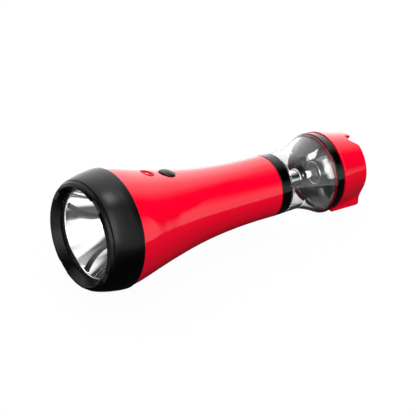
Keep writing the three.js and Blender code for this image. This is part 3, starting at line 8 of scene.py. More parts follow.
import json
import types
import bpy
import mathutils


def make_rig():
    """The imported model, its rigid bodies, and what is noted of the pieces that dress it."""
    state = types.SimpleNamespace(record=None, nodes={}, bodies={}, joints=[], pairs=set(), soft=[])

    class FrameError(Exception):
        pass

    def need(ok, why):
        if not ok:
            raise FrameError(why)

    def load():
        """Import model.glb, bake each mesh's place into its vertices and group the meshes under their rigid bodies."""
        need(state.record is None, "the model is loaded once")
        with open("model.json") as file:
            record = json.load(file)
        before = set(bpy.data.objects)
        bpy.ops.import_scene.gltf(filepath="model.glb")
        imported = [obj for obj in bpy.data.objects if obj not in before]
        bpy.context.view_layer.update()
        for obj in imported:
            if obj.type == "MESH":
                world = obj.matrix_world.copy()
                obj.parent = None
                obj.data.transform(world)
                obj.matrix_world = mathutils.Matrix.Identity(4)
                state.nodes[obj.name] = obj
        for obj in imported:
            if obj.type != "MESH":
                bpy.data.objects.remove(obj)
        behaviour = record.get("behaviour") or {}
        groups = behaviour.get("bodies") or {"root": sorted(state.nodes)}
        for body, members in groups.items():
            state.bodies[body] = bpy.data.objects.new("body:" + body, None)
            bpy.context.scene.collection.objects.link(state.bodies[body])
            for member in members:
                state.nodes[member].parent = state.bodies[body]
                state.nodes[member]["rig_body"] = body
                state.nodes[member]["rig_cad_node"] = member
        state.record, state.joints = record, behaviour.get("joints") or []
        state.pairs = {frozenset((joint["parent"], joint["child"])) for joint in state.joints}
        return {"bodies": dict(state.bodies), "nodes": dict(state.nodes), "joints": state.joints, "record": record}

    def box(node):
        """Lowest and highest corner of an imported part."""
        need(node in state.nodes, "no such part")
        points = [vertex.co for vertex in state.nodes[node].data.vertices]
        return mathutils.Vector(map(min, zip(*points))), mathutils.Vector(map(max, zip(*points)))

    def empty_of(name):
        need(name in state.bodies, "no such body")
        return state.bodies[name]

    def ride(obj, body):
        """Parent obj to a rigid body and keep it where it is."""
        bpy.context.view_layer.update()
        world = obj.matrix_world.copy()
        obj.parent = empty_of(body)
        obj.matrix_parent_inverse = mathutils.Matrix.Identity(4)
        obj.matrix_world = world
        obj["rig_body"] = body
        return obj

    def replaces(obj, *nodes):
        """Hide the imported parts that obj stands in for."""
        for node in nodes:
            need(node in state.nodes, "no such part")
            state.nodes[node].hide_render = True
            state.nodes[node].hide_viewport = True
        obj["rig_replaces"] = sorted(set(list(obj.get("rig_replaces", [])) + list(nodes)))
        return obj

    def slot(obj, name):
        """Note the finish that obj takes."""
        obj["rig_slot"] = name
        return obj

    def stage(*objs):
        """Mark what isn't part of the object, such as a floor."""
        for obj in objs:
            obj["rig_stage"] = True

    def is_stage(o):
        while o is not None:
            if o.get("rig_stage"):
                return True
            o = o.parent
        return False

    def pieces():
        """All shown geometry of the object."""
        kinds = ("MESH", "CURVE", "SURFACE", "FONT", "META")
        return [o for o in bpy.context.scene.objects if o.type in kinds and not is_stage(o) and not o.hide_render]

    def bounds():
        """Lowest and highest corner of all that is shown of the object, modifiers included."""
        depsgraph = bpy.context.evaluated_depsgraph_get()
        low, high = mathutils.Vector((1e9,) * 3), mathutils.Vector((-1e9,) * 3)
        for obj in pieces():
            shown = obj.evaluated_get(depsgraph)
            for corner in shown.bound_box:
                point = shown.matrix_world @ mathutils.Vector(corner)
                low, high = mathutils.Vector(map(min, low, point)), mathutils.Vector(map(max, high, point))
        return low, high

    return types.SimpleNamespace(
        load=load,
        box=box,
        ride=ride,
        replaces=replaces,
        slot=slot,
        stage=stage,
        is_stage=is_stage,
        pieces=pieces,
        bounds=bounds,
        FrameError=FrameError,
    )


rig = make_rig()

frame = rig.load()

import json
import logging
import math
from abc import ABC, abstractmethod
from dataclasses import dataclass, field
from enum import Enum

import bpy
import numpy as np
from mathutils import Matrix, Vector

LOG = logging.getLogger("torch")
LOADED_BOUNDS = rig.bounds()
SIZE_FILE = "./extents.json"
MM = 0.001
GAP = 0.3
CORE = 0.3
SHARP = 38.0
FULL_TURN = 2 * math.pi


class Body(str, Enum):
    """Rigid bodies that the new surfaces ride on."""

    TORCH = "torch"
    CRANK = "crank"
    ARM = "arm"
    KNOB = "knob"
    BUTTON = "button"


class Kind(Enum):
    """Ways in which a finish is shaded."""

    PLASTIC = "plastic"
    METAL = "metal"
    CLEAR = "clear"


@dataclass(frozen=True)
class Finish:
    """Surface finish of a piece.

    Args:
        name: name of its material, after the finish_ that keeps it apart from the slots.
        slot: material slot of the record.
        colour: linear base colour.
        roughness: mean roughness.
        kind: shading model.
        specular: strength of the reflection of a plastic.
        grain: depth of the fine moulding grain, in metres.
        wear: spread of the roughness about its mean.
        glow: strength of a faint painted glow, which keeps the piece light and unshaded.
        ior: index of refraction.
    """

    name: str
    slot: str
    colour: tuple[float, float, float]
    roughness: float
    kind: Kind = Kind.PLASTIC
    specular: float = 0.5
    grain: float = 0.0
    wear: float = 0.02
    glow: float = 0.0
    ior: float = 1.45


RED = Finish("body_red", "red_shell", (0.97, 0.0005, 0.025), 0.06, specular=0.72, wear=0.005)
# Darker copy of the red shell for the ring round the signal lens: painted shade of its recess.
SHADED_RIM_RED = Finish("rim_red_painted_shade", "red_shell", (0.62, 0.002, 0.02), 0.55, specular=0.1)
# Much darker copy of the red shell for the band at the globe's rear edge: painted shade.
SHADED_BAND_RED = Finish("band_red_painted_shade", "red_shell", (0.16, 0.0008, 0.006), 0.08, wear=0.005)
SATIN_BLACK = Finish("bezel_satin_black", "black_bezel", (0.0006, 0.0006, 0.0006), 0.28,
                     specular=0.23, wear=0.01)
GLOSS_BLACK = Finish("collar_gloss_black", "black_gloss", (0.0006, 0.0006, 0.0006), 0.06,
                     specular=0.4, wear=0.005)
BUTTON_BLACK = Finish("button_black", "black_button", (0.002, 0.002, 0.002), 0.28,
                      specular=0.36, wear=0.03)
ARM_BLACK = Finish("arm_black", "black_arm", (0.010, 0.010, 0.011), 0.38, specular=0.45,
                   grain=0.00002)
MOULDING = Finish("moulding_black", "black_moulding", (0.014, 0.014, 0.015), 0.5, specular=0.4,
                  grain=0.00003)
MIRROR = Finish("mirror_coat", "mirror_coat", (0.95, 0.952, 0.955), 0.035, Kind.METAL, wear=0.01)
# Dimmer copy of the mirror coat for the lantern bowl: painted shade that darkens its reflection.
SHADED_BOWL_MIRROR = Finish("bowl_coat_painted_shade", "mirror_coat", (0.40, 0.40, 0.405), 0.05, Kind.METAL, wear=0.01)
POST_METAL = Finish("post_chrome", "chromed_post", (0.82, 0.83, 0.84), 0.10, Kind.METAL)
# Darker copy of the post's chrome for the lamp sleeve: painted shade.
SHADED_SLEEVE = Finish("sleeve_chrome_painted_shade", "chromed_post", (0.16, 0.16, 0.165), 0.2, Kind.METAL)
LENS_CLEAR = Finish("lens_clear", "clear_lens", (1.0, 1.0, 1.0), 0.0, Kind.CLEAR, ior=1.3)
GLOBE_CLEAR = Finish("globe_clear", "clear_globe", (0.985, 0.99, 0.99), 0.0, Kind.CLEAR, ior=1.42)
SEAL = Finish("seal_rubber", "rubber_seal", (0.012, 0.012, 0.012), 0.7, specular=0.3,
              grain=0.00004)
# Faint glow keeps the lamp domes white and unshaded: painted light.
LAMP = Finish("lamp_resin_painted_glow", "lamp_cap", (0.92, 0.91, 0.86), 0.22, glow=0.35)
# Faint glow lightens the signal lens: painted light.
SIGNAL = Finish("signal_pink_painted_glow", "signal_lens", (0.92, 0.20, 0.28), 0.2, glow=0.12)
BOARD = Finish("board_green", "board", (0.02, 0.14, 0.05), 0.45, grain=0.00003)
ALLOY = Finish("alloy", "alloy", (0.60, 0.62, 0.65), 0.38, Kind.METAL, wear=0.06)
BRASS = Finish("brass", "brass_part", (0.72, 0.52, 0.22), 0.32, Kind.METAL, wear=0.06)
STEEL = Finish("steel", "steel_part", (0.52, 0.54, 0.56), 0.30, Kind.METAL, wear=0.06)
MAGNET = Finish("magnet", "magnet", (0.05, 0.05, 0.055), 0.45, grain=0.00003)
COPPER = Finish("copper", "copper_wire", (0.60, 0.25, 0.12), 0.35, Kind.METAL, wear=0.05)
NYLON = Finish("nylon", "gear_nylon", (0.80, 0.78, 0.70), 0.42, grain=0.00002)
CELL_WRAP = Finish("cell_wrap", "cell_wrap", (0.08, 0.25, 0.50), 0.35)

CAD_FINISHES: dict[str, Finish] = {
    finish.slot: finish
    for finish in (
        RED, SATIN_BLACK, GLOSS_BLACK, BUTTON_BLACK, ARM_BLACK, MOULDING, MIRROR, POST_METAL,
        LENS_CLEAR, GLOBE_CLEAR, SEAL, LAMP, SIGNAL, BOARD, ALLOY, BRASS, STEEL, MAGNET, COPPER,
        NYLON, CELL_WRAP,
    )
}


@dataclass
class Shader:
    """Builds and keeps one procedural material for each finish.

    Args:
        wear_scale: frequency of the drift of the roughness, per metre.
        wear_detail: layers of that drift.
        least_roughness: floor of a drifting roughness.
        grain_scale: frequency of the moulding grain, per metre.
        grain_strength: share of the grain that shows.
        shadow_tint: colour that clear plastic lets through to what it covers.
        made: the materials built so far.
    """

    wear_scale: float = 55.0
    wear_detail: float = 3.0
    least_roughness: float = 0.01
    grain_scale: float = 900.0
    grain_strength: float = 0.5
    shadow_tint: tuple[float, float, float, float] = (0.96, 0.965, 0.965, 1.0)
    made: dict[Finish, bpy.types.Material] = field(default_factory=dict)

    def material(self, finish: Finish) -> bpy.types.Material:
        """Gives the material of a finish, built on first use.

        Args:
            finish: the finish to shade.

        Returns:
            The node material.
        """
        if finish not in self.made:
            self.made[finish] = self._build(finish)
        return self.made[finish]

    def _build(self, finish: Finish) -> bpy.types.Material:
        """Sets up the shader of a finish, with its drift and its grain on Object coordinates.

        Args:
            finish: the finish to shade.

        Returns:
            A new node material.
        """
        material = bpy.data.materials.new(f"finish_{finish.name}")
        material.use_nodes = True
        tree = material.node_tree
        shader = tree.nodes["Principled BSDF"]
        shader.inputs["Base Color"].default_value = (*finish.colour, 1.0)
        shader.inputs["Roughness"].default_value = finish.roughness
        shader.inputs["IOR"].default_value = finish.ior
        shader.inputs["Specular IOR Level"].default_value = finish.specular
        shader.inputs["Metallic"].default_value = 1.0 if finish.kind is Kind.METAL else 0.0
        if finish.kind is Kind.CLEAR:
            self._clear(tree, shader)
            return material
        # Painted light: a faint emission in the piece's own colour keeps it light and unshaded.
        if finish.glow:
            shader.inputs["Emission Color"].default_value = (*finish.colour, 1.0)
            shader.inputs["Emission Strength"].default_value = finish.glow
        place = tree.nodes.new("ShaderNodeTexCoord").outputs["Object"]
        self._wear(tree, place, shader, finish)
        if finish.grain:
            self._grain(tree, place, shader, finish)
        return material

    def _clear(self, tree: bpy.types.NodeTree, shader: bpy.types.Node) -> None:
        """Makes a shader clear, and lets light through to what the piece covers.

        Args:
            tree: nodes of the material.
            shader: its principled shader.
        """
        shader.inputs["Transmission Weight"].default_value = 1.0
        path = tree.nodes.new("ShaderNodeLightPath")
        through = tree.nodes.new("ShaderNodeBsdfTransparent")
        through.inputs["Color"].default_value = self.shadow_tint
        mix = tree.nodes.new("ShaderNodeMixShader")
        tree.links.new(path.outputs["Is Shadow Ray"], mix.inputs["Fac"])
        tree.links.new(shader.outputs["BSDF"], mix.inputs[1])
        tree.links.new(through.outputs["BSDF"], mix.inputs[2])
        tree.links.new(mix.outputs["Shader"], tree.nodes["Material Output"].inputs["Surface"])

    def _wear(self, tree: bpy.types.NodeTree, place: bpy.types.NodeSocket,
              shader: bpy.types.Node, finish: Finish) -> None:
        """Lets the roughness drift a little over the surface.

        Args:
            tree: nodes of the material.
            place: socket of the coordinates.
            shader: its principled shader.
            finish: the finish that gives the mean and the spread.
        """
        noise = tree.nodes.new("ShaderNodeTexNoise")
        noise.inputs["Scale"].default_value = self.wear_scale
        noise.inputs["Detail"].default_value = self.wear_detail
        spread = tree.nodes.new("ShaderNodeMapRange")
        least = max(finish.roughness - finish.wear, self.least_roughness)
        spread.inputs["To Min"].default_value = least
        spread.inputs["To Max"].default_value = finish.roughness + finish.wear
        tree.links.new(place, noise.inputs["Vector"])
        tree.links.new(noise.outputs["Fac"], spread.inputs["Value"])
        tree.links.new(spread.outputs["Result"], shader.inputs["Roughness"])

    def _grain(self, tree: bpy.types.NodeTree, place: bpy.types.NodeSocket,
               shader: bpy.types.Node, finish: Finish) -> None:
        """Adds a fine moulding grain.

        Args:
            tree: nodes of the material.
            place: socket of the coordinates.
            shader: its principled shader.
            finish: the finish that gives the depth.
        """
        noise = tree.nodes.new("ShaderNodeTexNoise")
        noise.inputs["Scale"].default_value = self.grain_scale
        bump = tree.nodes.new("ShaderNodeBump")
        bump.inputs["Strength"].default_value = self.grain_strength
        bump.inputs["Distance"].default_value = finish.grain
        tree.links.new(place, noise.inputs["Vector"])
        tree.links.new(noise.outputs["Fac"], bump.inputs["Height"])
        tree.links.new(bump.outputs["Normal"], shader.inputs["Normal"])


@dataclass(frozen=True)
class Stations:
    """Places along the torch axis in millimetres, from the bezel's rear edge towards the tail."""

    bezel_front: float = -26.6
    lens_front: float = -19.7
    lens_rear: float = -17.7
    mirror_front: float = -15.9
    neck: float = 22.1
    body_front: float = 0.3
    body_rear: float = 137.5
    collar_front: float = 137.8
    globe_front: float = 146.4
    globe_rear: float = 184.1
    collar_rear: float = 191.3
    cap_front: float = 191.6
    disc_front: float = 210.1
    disc_rear: float = 211.9
    arm_bottom: float = 212.2
    arm_top: float = 217.0
    cap_rear: float = 217.6


AT = Stations()


@dataclass
class TorchAxes:
    """The torch's own axes: the lens gives a point of its axis and the resting tilt its direction.

    Millimetres in the torch's axes become metres in the frame: x runs from the head to the tail,
    z points up through the button line and y away from the near side.

    Args:
        bezel_radius: radius on which the head rests.
        collar_radius: radius on which the tail rests.
        collar_edge_station: distance between those two rests.
        facets: sides of the solids' rounds, which rest on a flat.
    """

    bezel_radius: float = 44.0
    collar_radius: float = 30.8
    collar_edge_station: float = 184.6
    facets: int = 40
    turn: np.ndarray = field(init=False)
    origin: np.ndarray = field(init=False)

    def __post_init__(self) -> None:
        """Finds the directions and the origin: the tilt's tangent is the fall over the distance."""
        fall = (self.bezel_radius - self.collar_radius) * math.cos(math.pi / self.facets)
        tilt = math.atan2(fall, self.collar_edge_station)
        low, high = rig.box("front_lens")
        middle = (np.array(low) + np.array(high)) / 2
        along = np.array((math.cos(tilt), 0.0, -math.sin(tilt)))
        across = np.array((0.0, 1.0, 0.0))
        self.turn = np.stack((along, across, np.cross(along, across)), axis=1)
        self.origin = middle - along * (AT.lens_front + AT.lens_rear) / 2 * MM

    def place(self, points: np.ndarray) -> np.ndarray:
        """Lays points down in the frame.

        Args:
            points: array of any shape ending in three millimetre coordinates.

        Returns:
            The same shape in metres in the frame.
        """
        return points @ self.turn.T * MM + self.origin


def polar(x: np.ndarray, radius: np.ndarray, angle: np.ndarray) -> np.ndarray:
    """Points round the axis: the radius times the angle's cosine goes up, times its sine aside.

    Args:
        x: stations.
        radius: distances from the axis.
        angle: angles from the top line towards the near side.

    Returns:
        The common shape of the three, with three coordinates at its end.
    """
    x, radius, angle = np.broadcast_arrays(x, radius, angle)
    return np.stack((x, -radius * np.sin(angle), radius * np.cos(angle)), axis=-1)


def smooth_step(low: float, high: float, value: np.ndarray) -> np.ndarray:
    """Rises from 0 to 1 as three times the square of the share less twice its cube.

    Args:
        low: value below which it is 0.
        high: value above which it is 1.
        value: where to look.

    Returns:
        The rise at each value.
    """
    share = np.clip((value - low) / (high - low), 0.0, 1.0)
    return share * share * (3 - 2 * share)


def faired_max(a: np.ndarray, b: np.ndarray, blend: np.ndarray | float) -> np.ndarray:
    """Larger of two values, raised where they are nearly equal by the square of what their
    difference lacks to the blend, over four blends.

    Args:
        a: first values.
        b: second values.
        blend: difference at which the fairing ends.

    Returns:
        The faired values.
    """
    return np.maximum(a, b) + np.maximum(blend - np.abs(a - b), 0)**2 / (4 * blend)


def edge_inset(depth: np.ndarray, bend: float) -> np.ndarray:
    """How far a rounded edge draws in: its radius less the height of its circle.

    Args:
        depth: distance from the end.
        bend: radius of the edge.

    Returns:
        The inset at each depth, zero beyond the edge.
    """
    return bend - np.sqrt(np.maximum(bend**2 - np.maximum(bend - depth, 0)**2, 0))


def even_turn(count: int) -> np.ndarray:
    """Even angles round a full turn, without the closing one."""
    return np.arange(count) * FULL_TURN / count


def rounded(corners: list[tuple[float, float, float]], closed: bool = False,
            steps: int = 5) -> np.ndarray:
    """Rounds the corners of a flat line.

    Each corner is cut back by its radius over the tangent of half its turn and replaced by an arc
    about the point where the two inner parallels meet. Long straights get a support point near
    each end, so that smooth shading stays flat on them.

    Args:
        corners: station, radius and rounding radius of each corner.
        closed: whether the last corner joins the first.
        steps: spans in each arc.

    Returns:
        Points as rows of station and radius.
    """
    widest_support, long_share = 0.25, 3
    data = np.array(corners, float)
    line: list[np.ndarray] = []
    count = len(data)
    for i, (here, bend) in enumerate(zip(data[:, :2], data[:, 2])):
        if bend <= 0 or (not closed and i in (0, count - 1)):
            line.append(here[None])
            continue
        back, ahead = data[i - 1, :2] - here, data[(i + 1) % count, :2] - here
        back_unit, ahead_unit = back / np.linalg.norm(back), ahead / np.linalg.norm(ahead)
        half = math.acos(float(np.clip(back_unit @ ahead_unit, -1, 1))) / 2
        cut = bend / math.tan(half)
        middle = (back_unit + ahead_unit) / np.linalg.norm(back_unit + ahead_unit)
        centre = here + middle * bend / math.sin(half)
        first, last = here + back_unit * cut, here + ahead_unit * cut
        sweep = math.pi - 2 * half
        start = first - centre
        side = np.sign(start[0] * (last - centre)[1] - start[1] * (last - centre)[0])
        turn = side * sweep * np.linspace(0, 1, steps + 1)
        arc = np.stack((
            centre[0] + start[0] * np.cos(turn) - start[1] * np.sin(turn),
            centre[1] + start[0] * np.sin(turn) + start[1] * np.cos(turn),
        ), axis=1)
        reach = cut + min(bend, widest_support)
        if np.linalg.norm(back) > long_share * reach:
            line.append((here + back_unit * reach)[None])
        line.append(arc)
        if np.linalg.norm(ahead) > long_share * reach:
            line.append((here + ahead_unit * reach)[None])
    return np.concatenate(line)


def densified(line: np.ndarray, longest: float, closed: bool = False) -> np.ndarray:
    """Splits the spans of a line evenly so that none is longer than given.

    Args:
        line: points as rows.
        longest: longest span left.
        closed: whether the last point joins the first.

    Returns:
        The denser rows.
    """
    ring = np.concatenate((line, line[:1])) if closed else line
    lengths = np.linalg.norm(np.diff(ring, axis=0), axis=1)
    pieces = np.maximum(np.ceil(lengths / longest).astype(int), 1)
    place = np.repeat(np.arange(len(pieces)), pieces)
    within = np.arange(pieces.sum()) - np.repeat(np.cumsum(pieces) - pieces, pieces)
    share = (within / pieces[place])[:, None]
    split = ring[place] * (1 - share) + ring[place + 1] * share
    return split if closed else np.concatenate((split, line[-1:]))


def curve_through(points: np.ndarray, steps: int) -> np.ndarray:
    """Smooth line through points: a cubic between each pair, whose slope at a point is half the
    step between the point's two neighbours.

    Args:
        points: rows of station and radius.
        steps: spans in the whole line.

    Returns:
        Rows of station and radius.
    """
    place = np.linspace(0, len(points) - 1, steps + 1)
    start = np.minimum(place.astype(int), len(points) - 2)
    share = (place - start)[:, None]
    padded = np.concatenate((points[:1], points, points[-1:]))
    before, here, ahead, beyond = (padded[start + i] for i in range(4))
    leave, arrive = (ahead - before) / 2, (beyond - here) / 2
    return (
        (2 * here - 2 * ahead + leave + arrive) * share**3
        + (3 * ahead - 3 * here - 2 * leave - arrive) * share**2
        + leave * share + here
    )


def revolved(line: np.ndarray, columns: int) -> np.ndarray:
    """Turns a line of station and radius about the torch axis, or about x of a local frame."""
    return polar(line[:, :1], line[:, 1:], even_turn(columns)[None])


def dome(middle: float, radius: float, swing: np.ndarray, side: int = 1) -> np.ndarray:
    """Arc of a ball on the axis: the radius times the cosine along it, times the sine across.

    Args:
        middle: station of the ball's middle.
        radius: radius of the ball.
        swing: angles from the axis.
        side: 1 for a ball that bulges to the rear, -1 for one that bulges to the front.

    Returns:
        Rows of station and radius.
    """
    return np.stack((middle + side * radius * np.cos(swing), radius * np.sin(swing)), axis=1)


def enclosed(corner: np.ndarray) -> float:
    """Six times the volume inside triangles: the sum of their corners' triple products.

    Args:
        corner: triangles by corners by coordinates.

    Returns:
        The volume, negative where the faces point inwards.
    """
    return float(np.einsum("ij,ij->", corner[:, 0], np.cross(corner[:, 1], corner[:, 2])))


@dataclass
class Surfaces:
    """Makes mesh objects out of grids of points in the torch's axes.

    Args:
        axes: the torch's axes.
        shader: maker of the materials.
    """

    axes: TorchAxes
    shader: Shader

    def add(self, name: str, grid: np.ndarray, finish: Finish, body: Body, *replaces: str,
            closed_rows: bool = True, local: Matrix | None = None, sharp: float = SHARP) -> None:
        """Adds one closed piece.

        Args:
            name: name of the piece.
            grid: rows by columns by three, in millimetres; the columns close on themselves.
            finish: surface finish.
            body: body that it rides on.
            replaces: CAD nodes that it stands for.
            closed_rows: whether the last row joins the first; otherwise the end rows are fanned.
            local: optional turn and shift within the torch's axes, in millimetres.
            sharp: edges that turn by more degrees than this are shaded sharp.
        """
        if local is not None:
            turn = np.array(local)
            grid = grid @ turn[:3, :3].T + turn[:3, 3]
        mesh = self._skinned(name, self.axes.place(grid), closed_rows)
        self._dress(mesh, finish, body, replaces, sharp)

    def _dress(self, mesh: bpy.types.Mesh, finish: Finish, body: Body,
               replaces: tuple[str, ...], sharp: float) -> None:
        """Makes a piece of a mesh, shades it and hands it to the frame.

        Args:
            mesh: its finished mesh, in metres.
            finish: surface finish.
            body: body that it rides on.
            replaces: CAD nodes that it stands for.
            sharp: edges that turn by more degrees than this are shaded sharp.
        """
        mesh.validate()
        piece = bpy.data.objects.new(mesh.name, mesh)
        bpy.context.scene.collection.objects.link(piece)
        mesh.materials.append(self.shader.material(finish))
        mesh.polygons.foreach_set("use_smooth", np.ones(len(mesh.polygons), bool))
        mesh.set_sharp_from_angle(angle=math.radians(sharp))
        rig.ride(piece, body.value)
        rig.replaces(piece, *replaces)
        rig.slot(piece, finish.slot)
        LOG.info("piece %s: %d faces on %s", piece.name, len(mesh.polygons), body.value)

    @staticmethod
    def _skinned(name: str, points: np.ndarray, closed_rows: bool) -> bpy.types.Mesh:
        """Skins a grid with quads, with a fan about the middle of each end row that is open, and
        turns the faces outwards by the sign of the volume that they enclose.

        Args:
            name: name of the mesh.
            points: rows by columns by three, in metres.
            closed_rows: whether the last row joins the first.

        Returns:
            The mesh.
        """
        rows, columns = points.shape[:2]
        index = np.arange(rows * columns).reshape(rows, columns)
        upper = np.roll(index, -1, axis=0) if closed_rows else index[1:]
        lower = index if closed_rows else index[:-1]
        cells = np.stack((lower, np.roll(lower, -1, 1), np.roll(upper, -1, 1), upper), axis=-1)
        quads = cells.reshape(-1, 4)
        flat = points.reshape(-1, 3)
        fans = np.empty((0, 3), int)
        if not closed_rows:
            flat = np.concatenate((flat, points[:1].mean(1), points[-1:].mean(1)))
            low, high = np.full(columns, rows * columns), np.full(columns, rows * columns + 1)
            fans = np.concatenate((
                np.stack((low, np.roll(index[0], -1), index[0]), axis=1),
                np.stack((high, index[-1], np.roll(index[-1], -1)), axis=1),
            ))
        if enclosed(flat[np.concatenate((quads[:, [0, 1, 2]], quads[:, [0, 2, 3]], fans))]) < 0:
            quads, fans = quads[:, ::-1], fans[:, ::-1]
        mesh = bpy.data.meshes.new(name)
        mesh.from_pydata(flat, [], quads.tolist() + fans.tolist())
        return mesh

    def add_shell(self, name: str, outer: np.ndarray, inner: np.ndarray, finish: Finish,
                  body: Body, hole_rows: list[int], hole_ring: int, *replaces: str,
                  sharp: float = SHARP) -> None:
        """Adds a tube with two skins and round holes through its first column: both skins lose
        the holes' squares of cells, and bands join the skins there and at both ends.

        Args:
            name: name of the piece.
            outer: outer skin, rows by columns by three, in millimetres.
            inner: inner skin of the same shape.
            finish: surface finish.
            body: body that it rides on.
            hole_rows: row of each hole's middle.
            hole_ring: half the side of the square of cells that each hole takes out.
            replaces: CAD nodes that it stands for.
            sharp: edges that turn by more degrees than this are shaded sharp.
        """
        rows, columns = outer.shape[:2]
        index = np.arange(rows * columns).reshape(rows, columns)
        shift = rows * columns
        side = np.roll(index, -1, axis=1)
        skin = np.stack((index[:-1], side[:-1], side[1:], index[1:]), axis=-1)
        keep = np.ones((rows - 1, columns), bool)
        around = np.arange(-hole_ring, hole_ring + 1)
        bands: list[np.ndarray] = []
        for row in hole_rows:
            high, low = row + hole_ring, row - hole_ring
            keep[np.ix_(np.arange(low, high), around[:-1] % columns)] = False
            loop = np.concatenate((
                index[low, around % columns][:-1], index[low:high, hole_ring],
                index[high, around[::-1] % columns][:-1], index[high:low:-1, -hole_ring % columns],
            ))
            ahead = np.roll(loop, -1)
            bands.append(np.stack((loop, ahead, ahead + shift, loop + shift), axis=1))
        skin = skin[keep]
        quads = np.concatenate((
            skin, skin[:, ::-1] + shift, *bands,
            np.stack((index[0] + shift, side[0] + shift, side[0], index[0]), axis=1),
            np.stack((index[-1], side[-1], side[-1] + shift, index[-1] + shift), axis=1),
        ))
        used, renumbered = np.unique(quads, return_inverse=True)
        both = np.concatenate((outer.reshape(-1, 3), inner.reshape(-1, 3)))
        points = self.axes.place(both)[used]
        faces = renumbered.reshape(-1, 4)
        if enclosed(points[np.concatenate((faces[:, [0, 1, 2]], faces[:, [0, 2, 3]]))]) < 0:
            faces = faces[:, ::-1]
        mesh = bpy.data.meshes.new(name)
        mesh.from_pydata(points, [], faces.tolist())
        self._dress(mesh, finish, body, replaces, sharp)


@dataclass
class Assembly(ABC):
    """Part of the torch that builds its own pieces.

    Args:
        surfaces: maker of the pieces.
    """

    surfaces: Surfaces

    @abstractmethod
    def build(self) -> None:
        """Builds and dresses the pieces."""


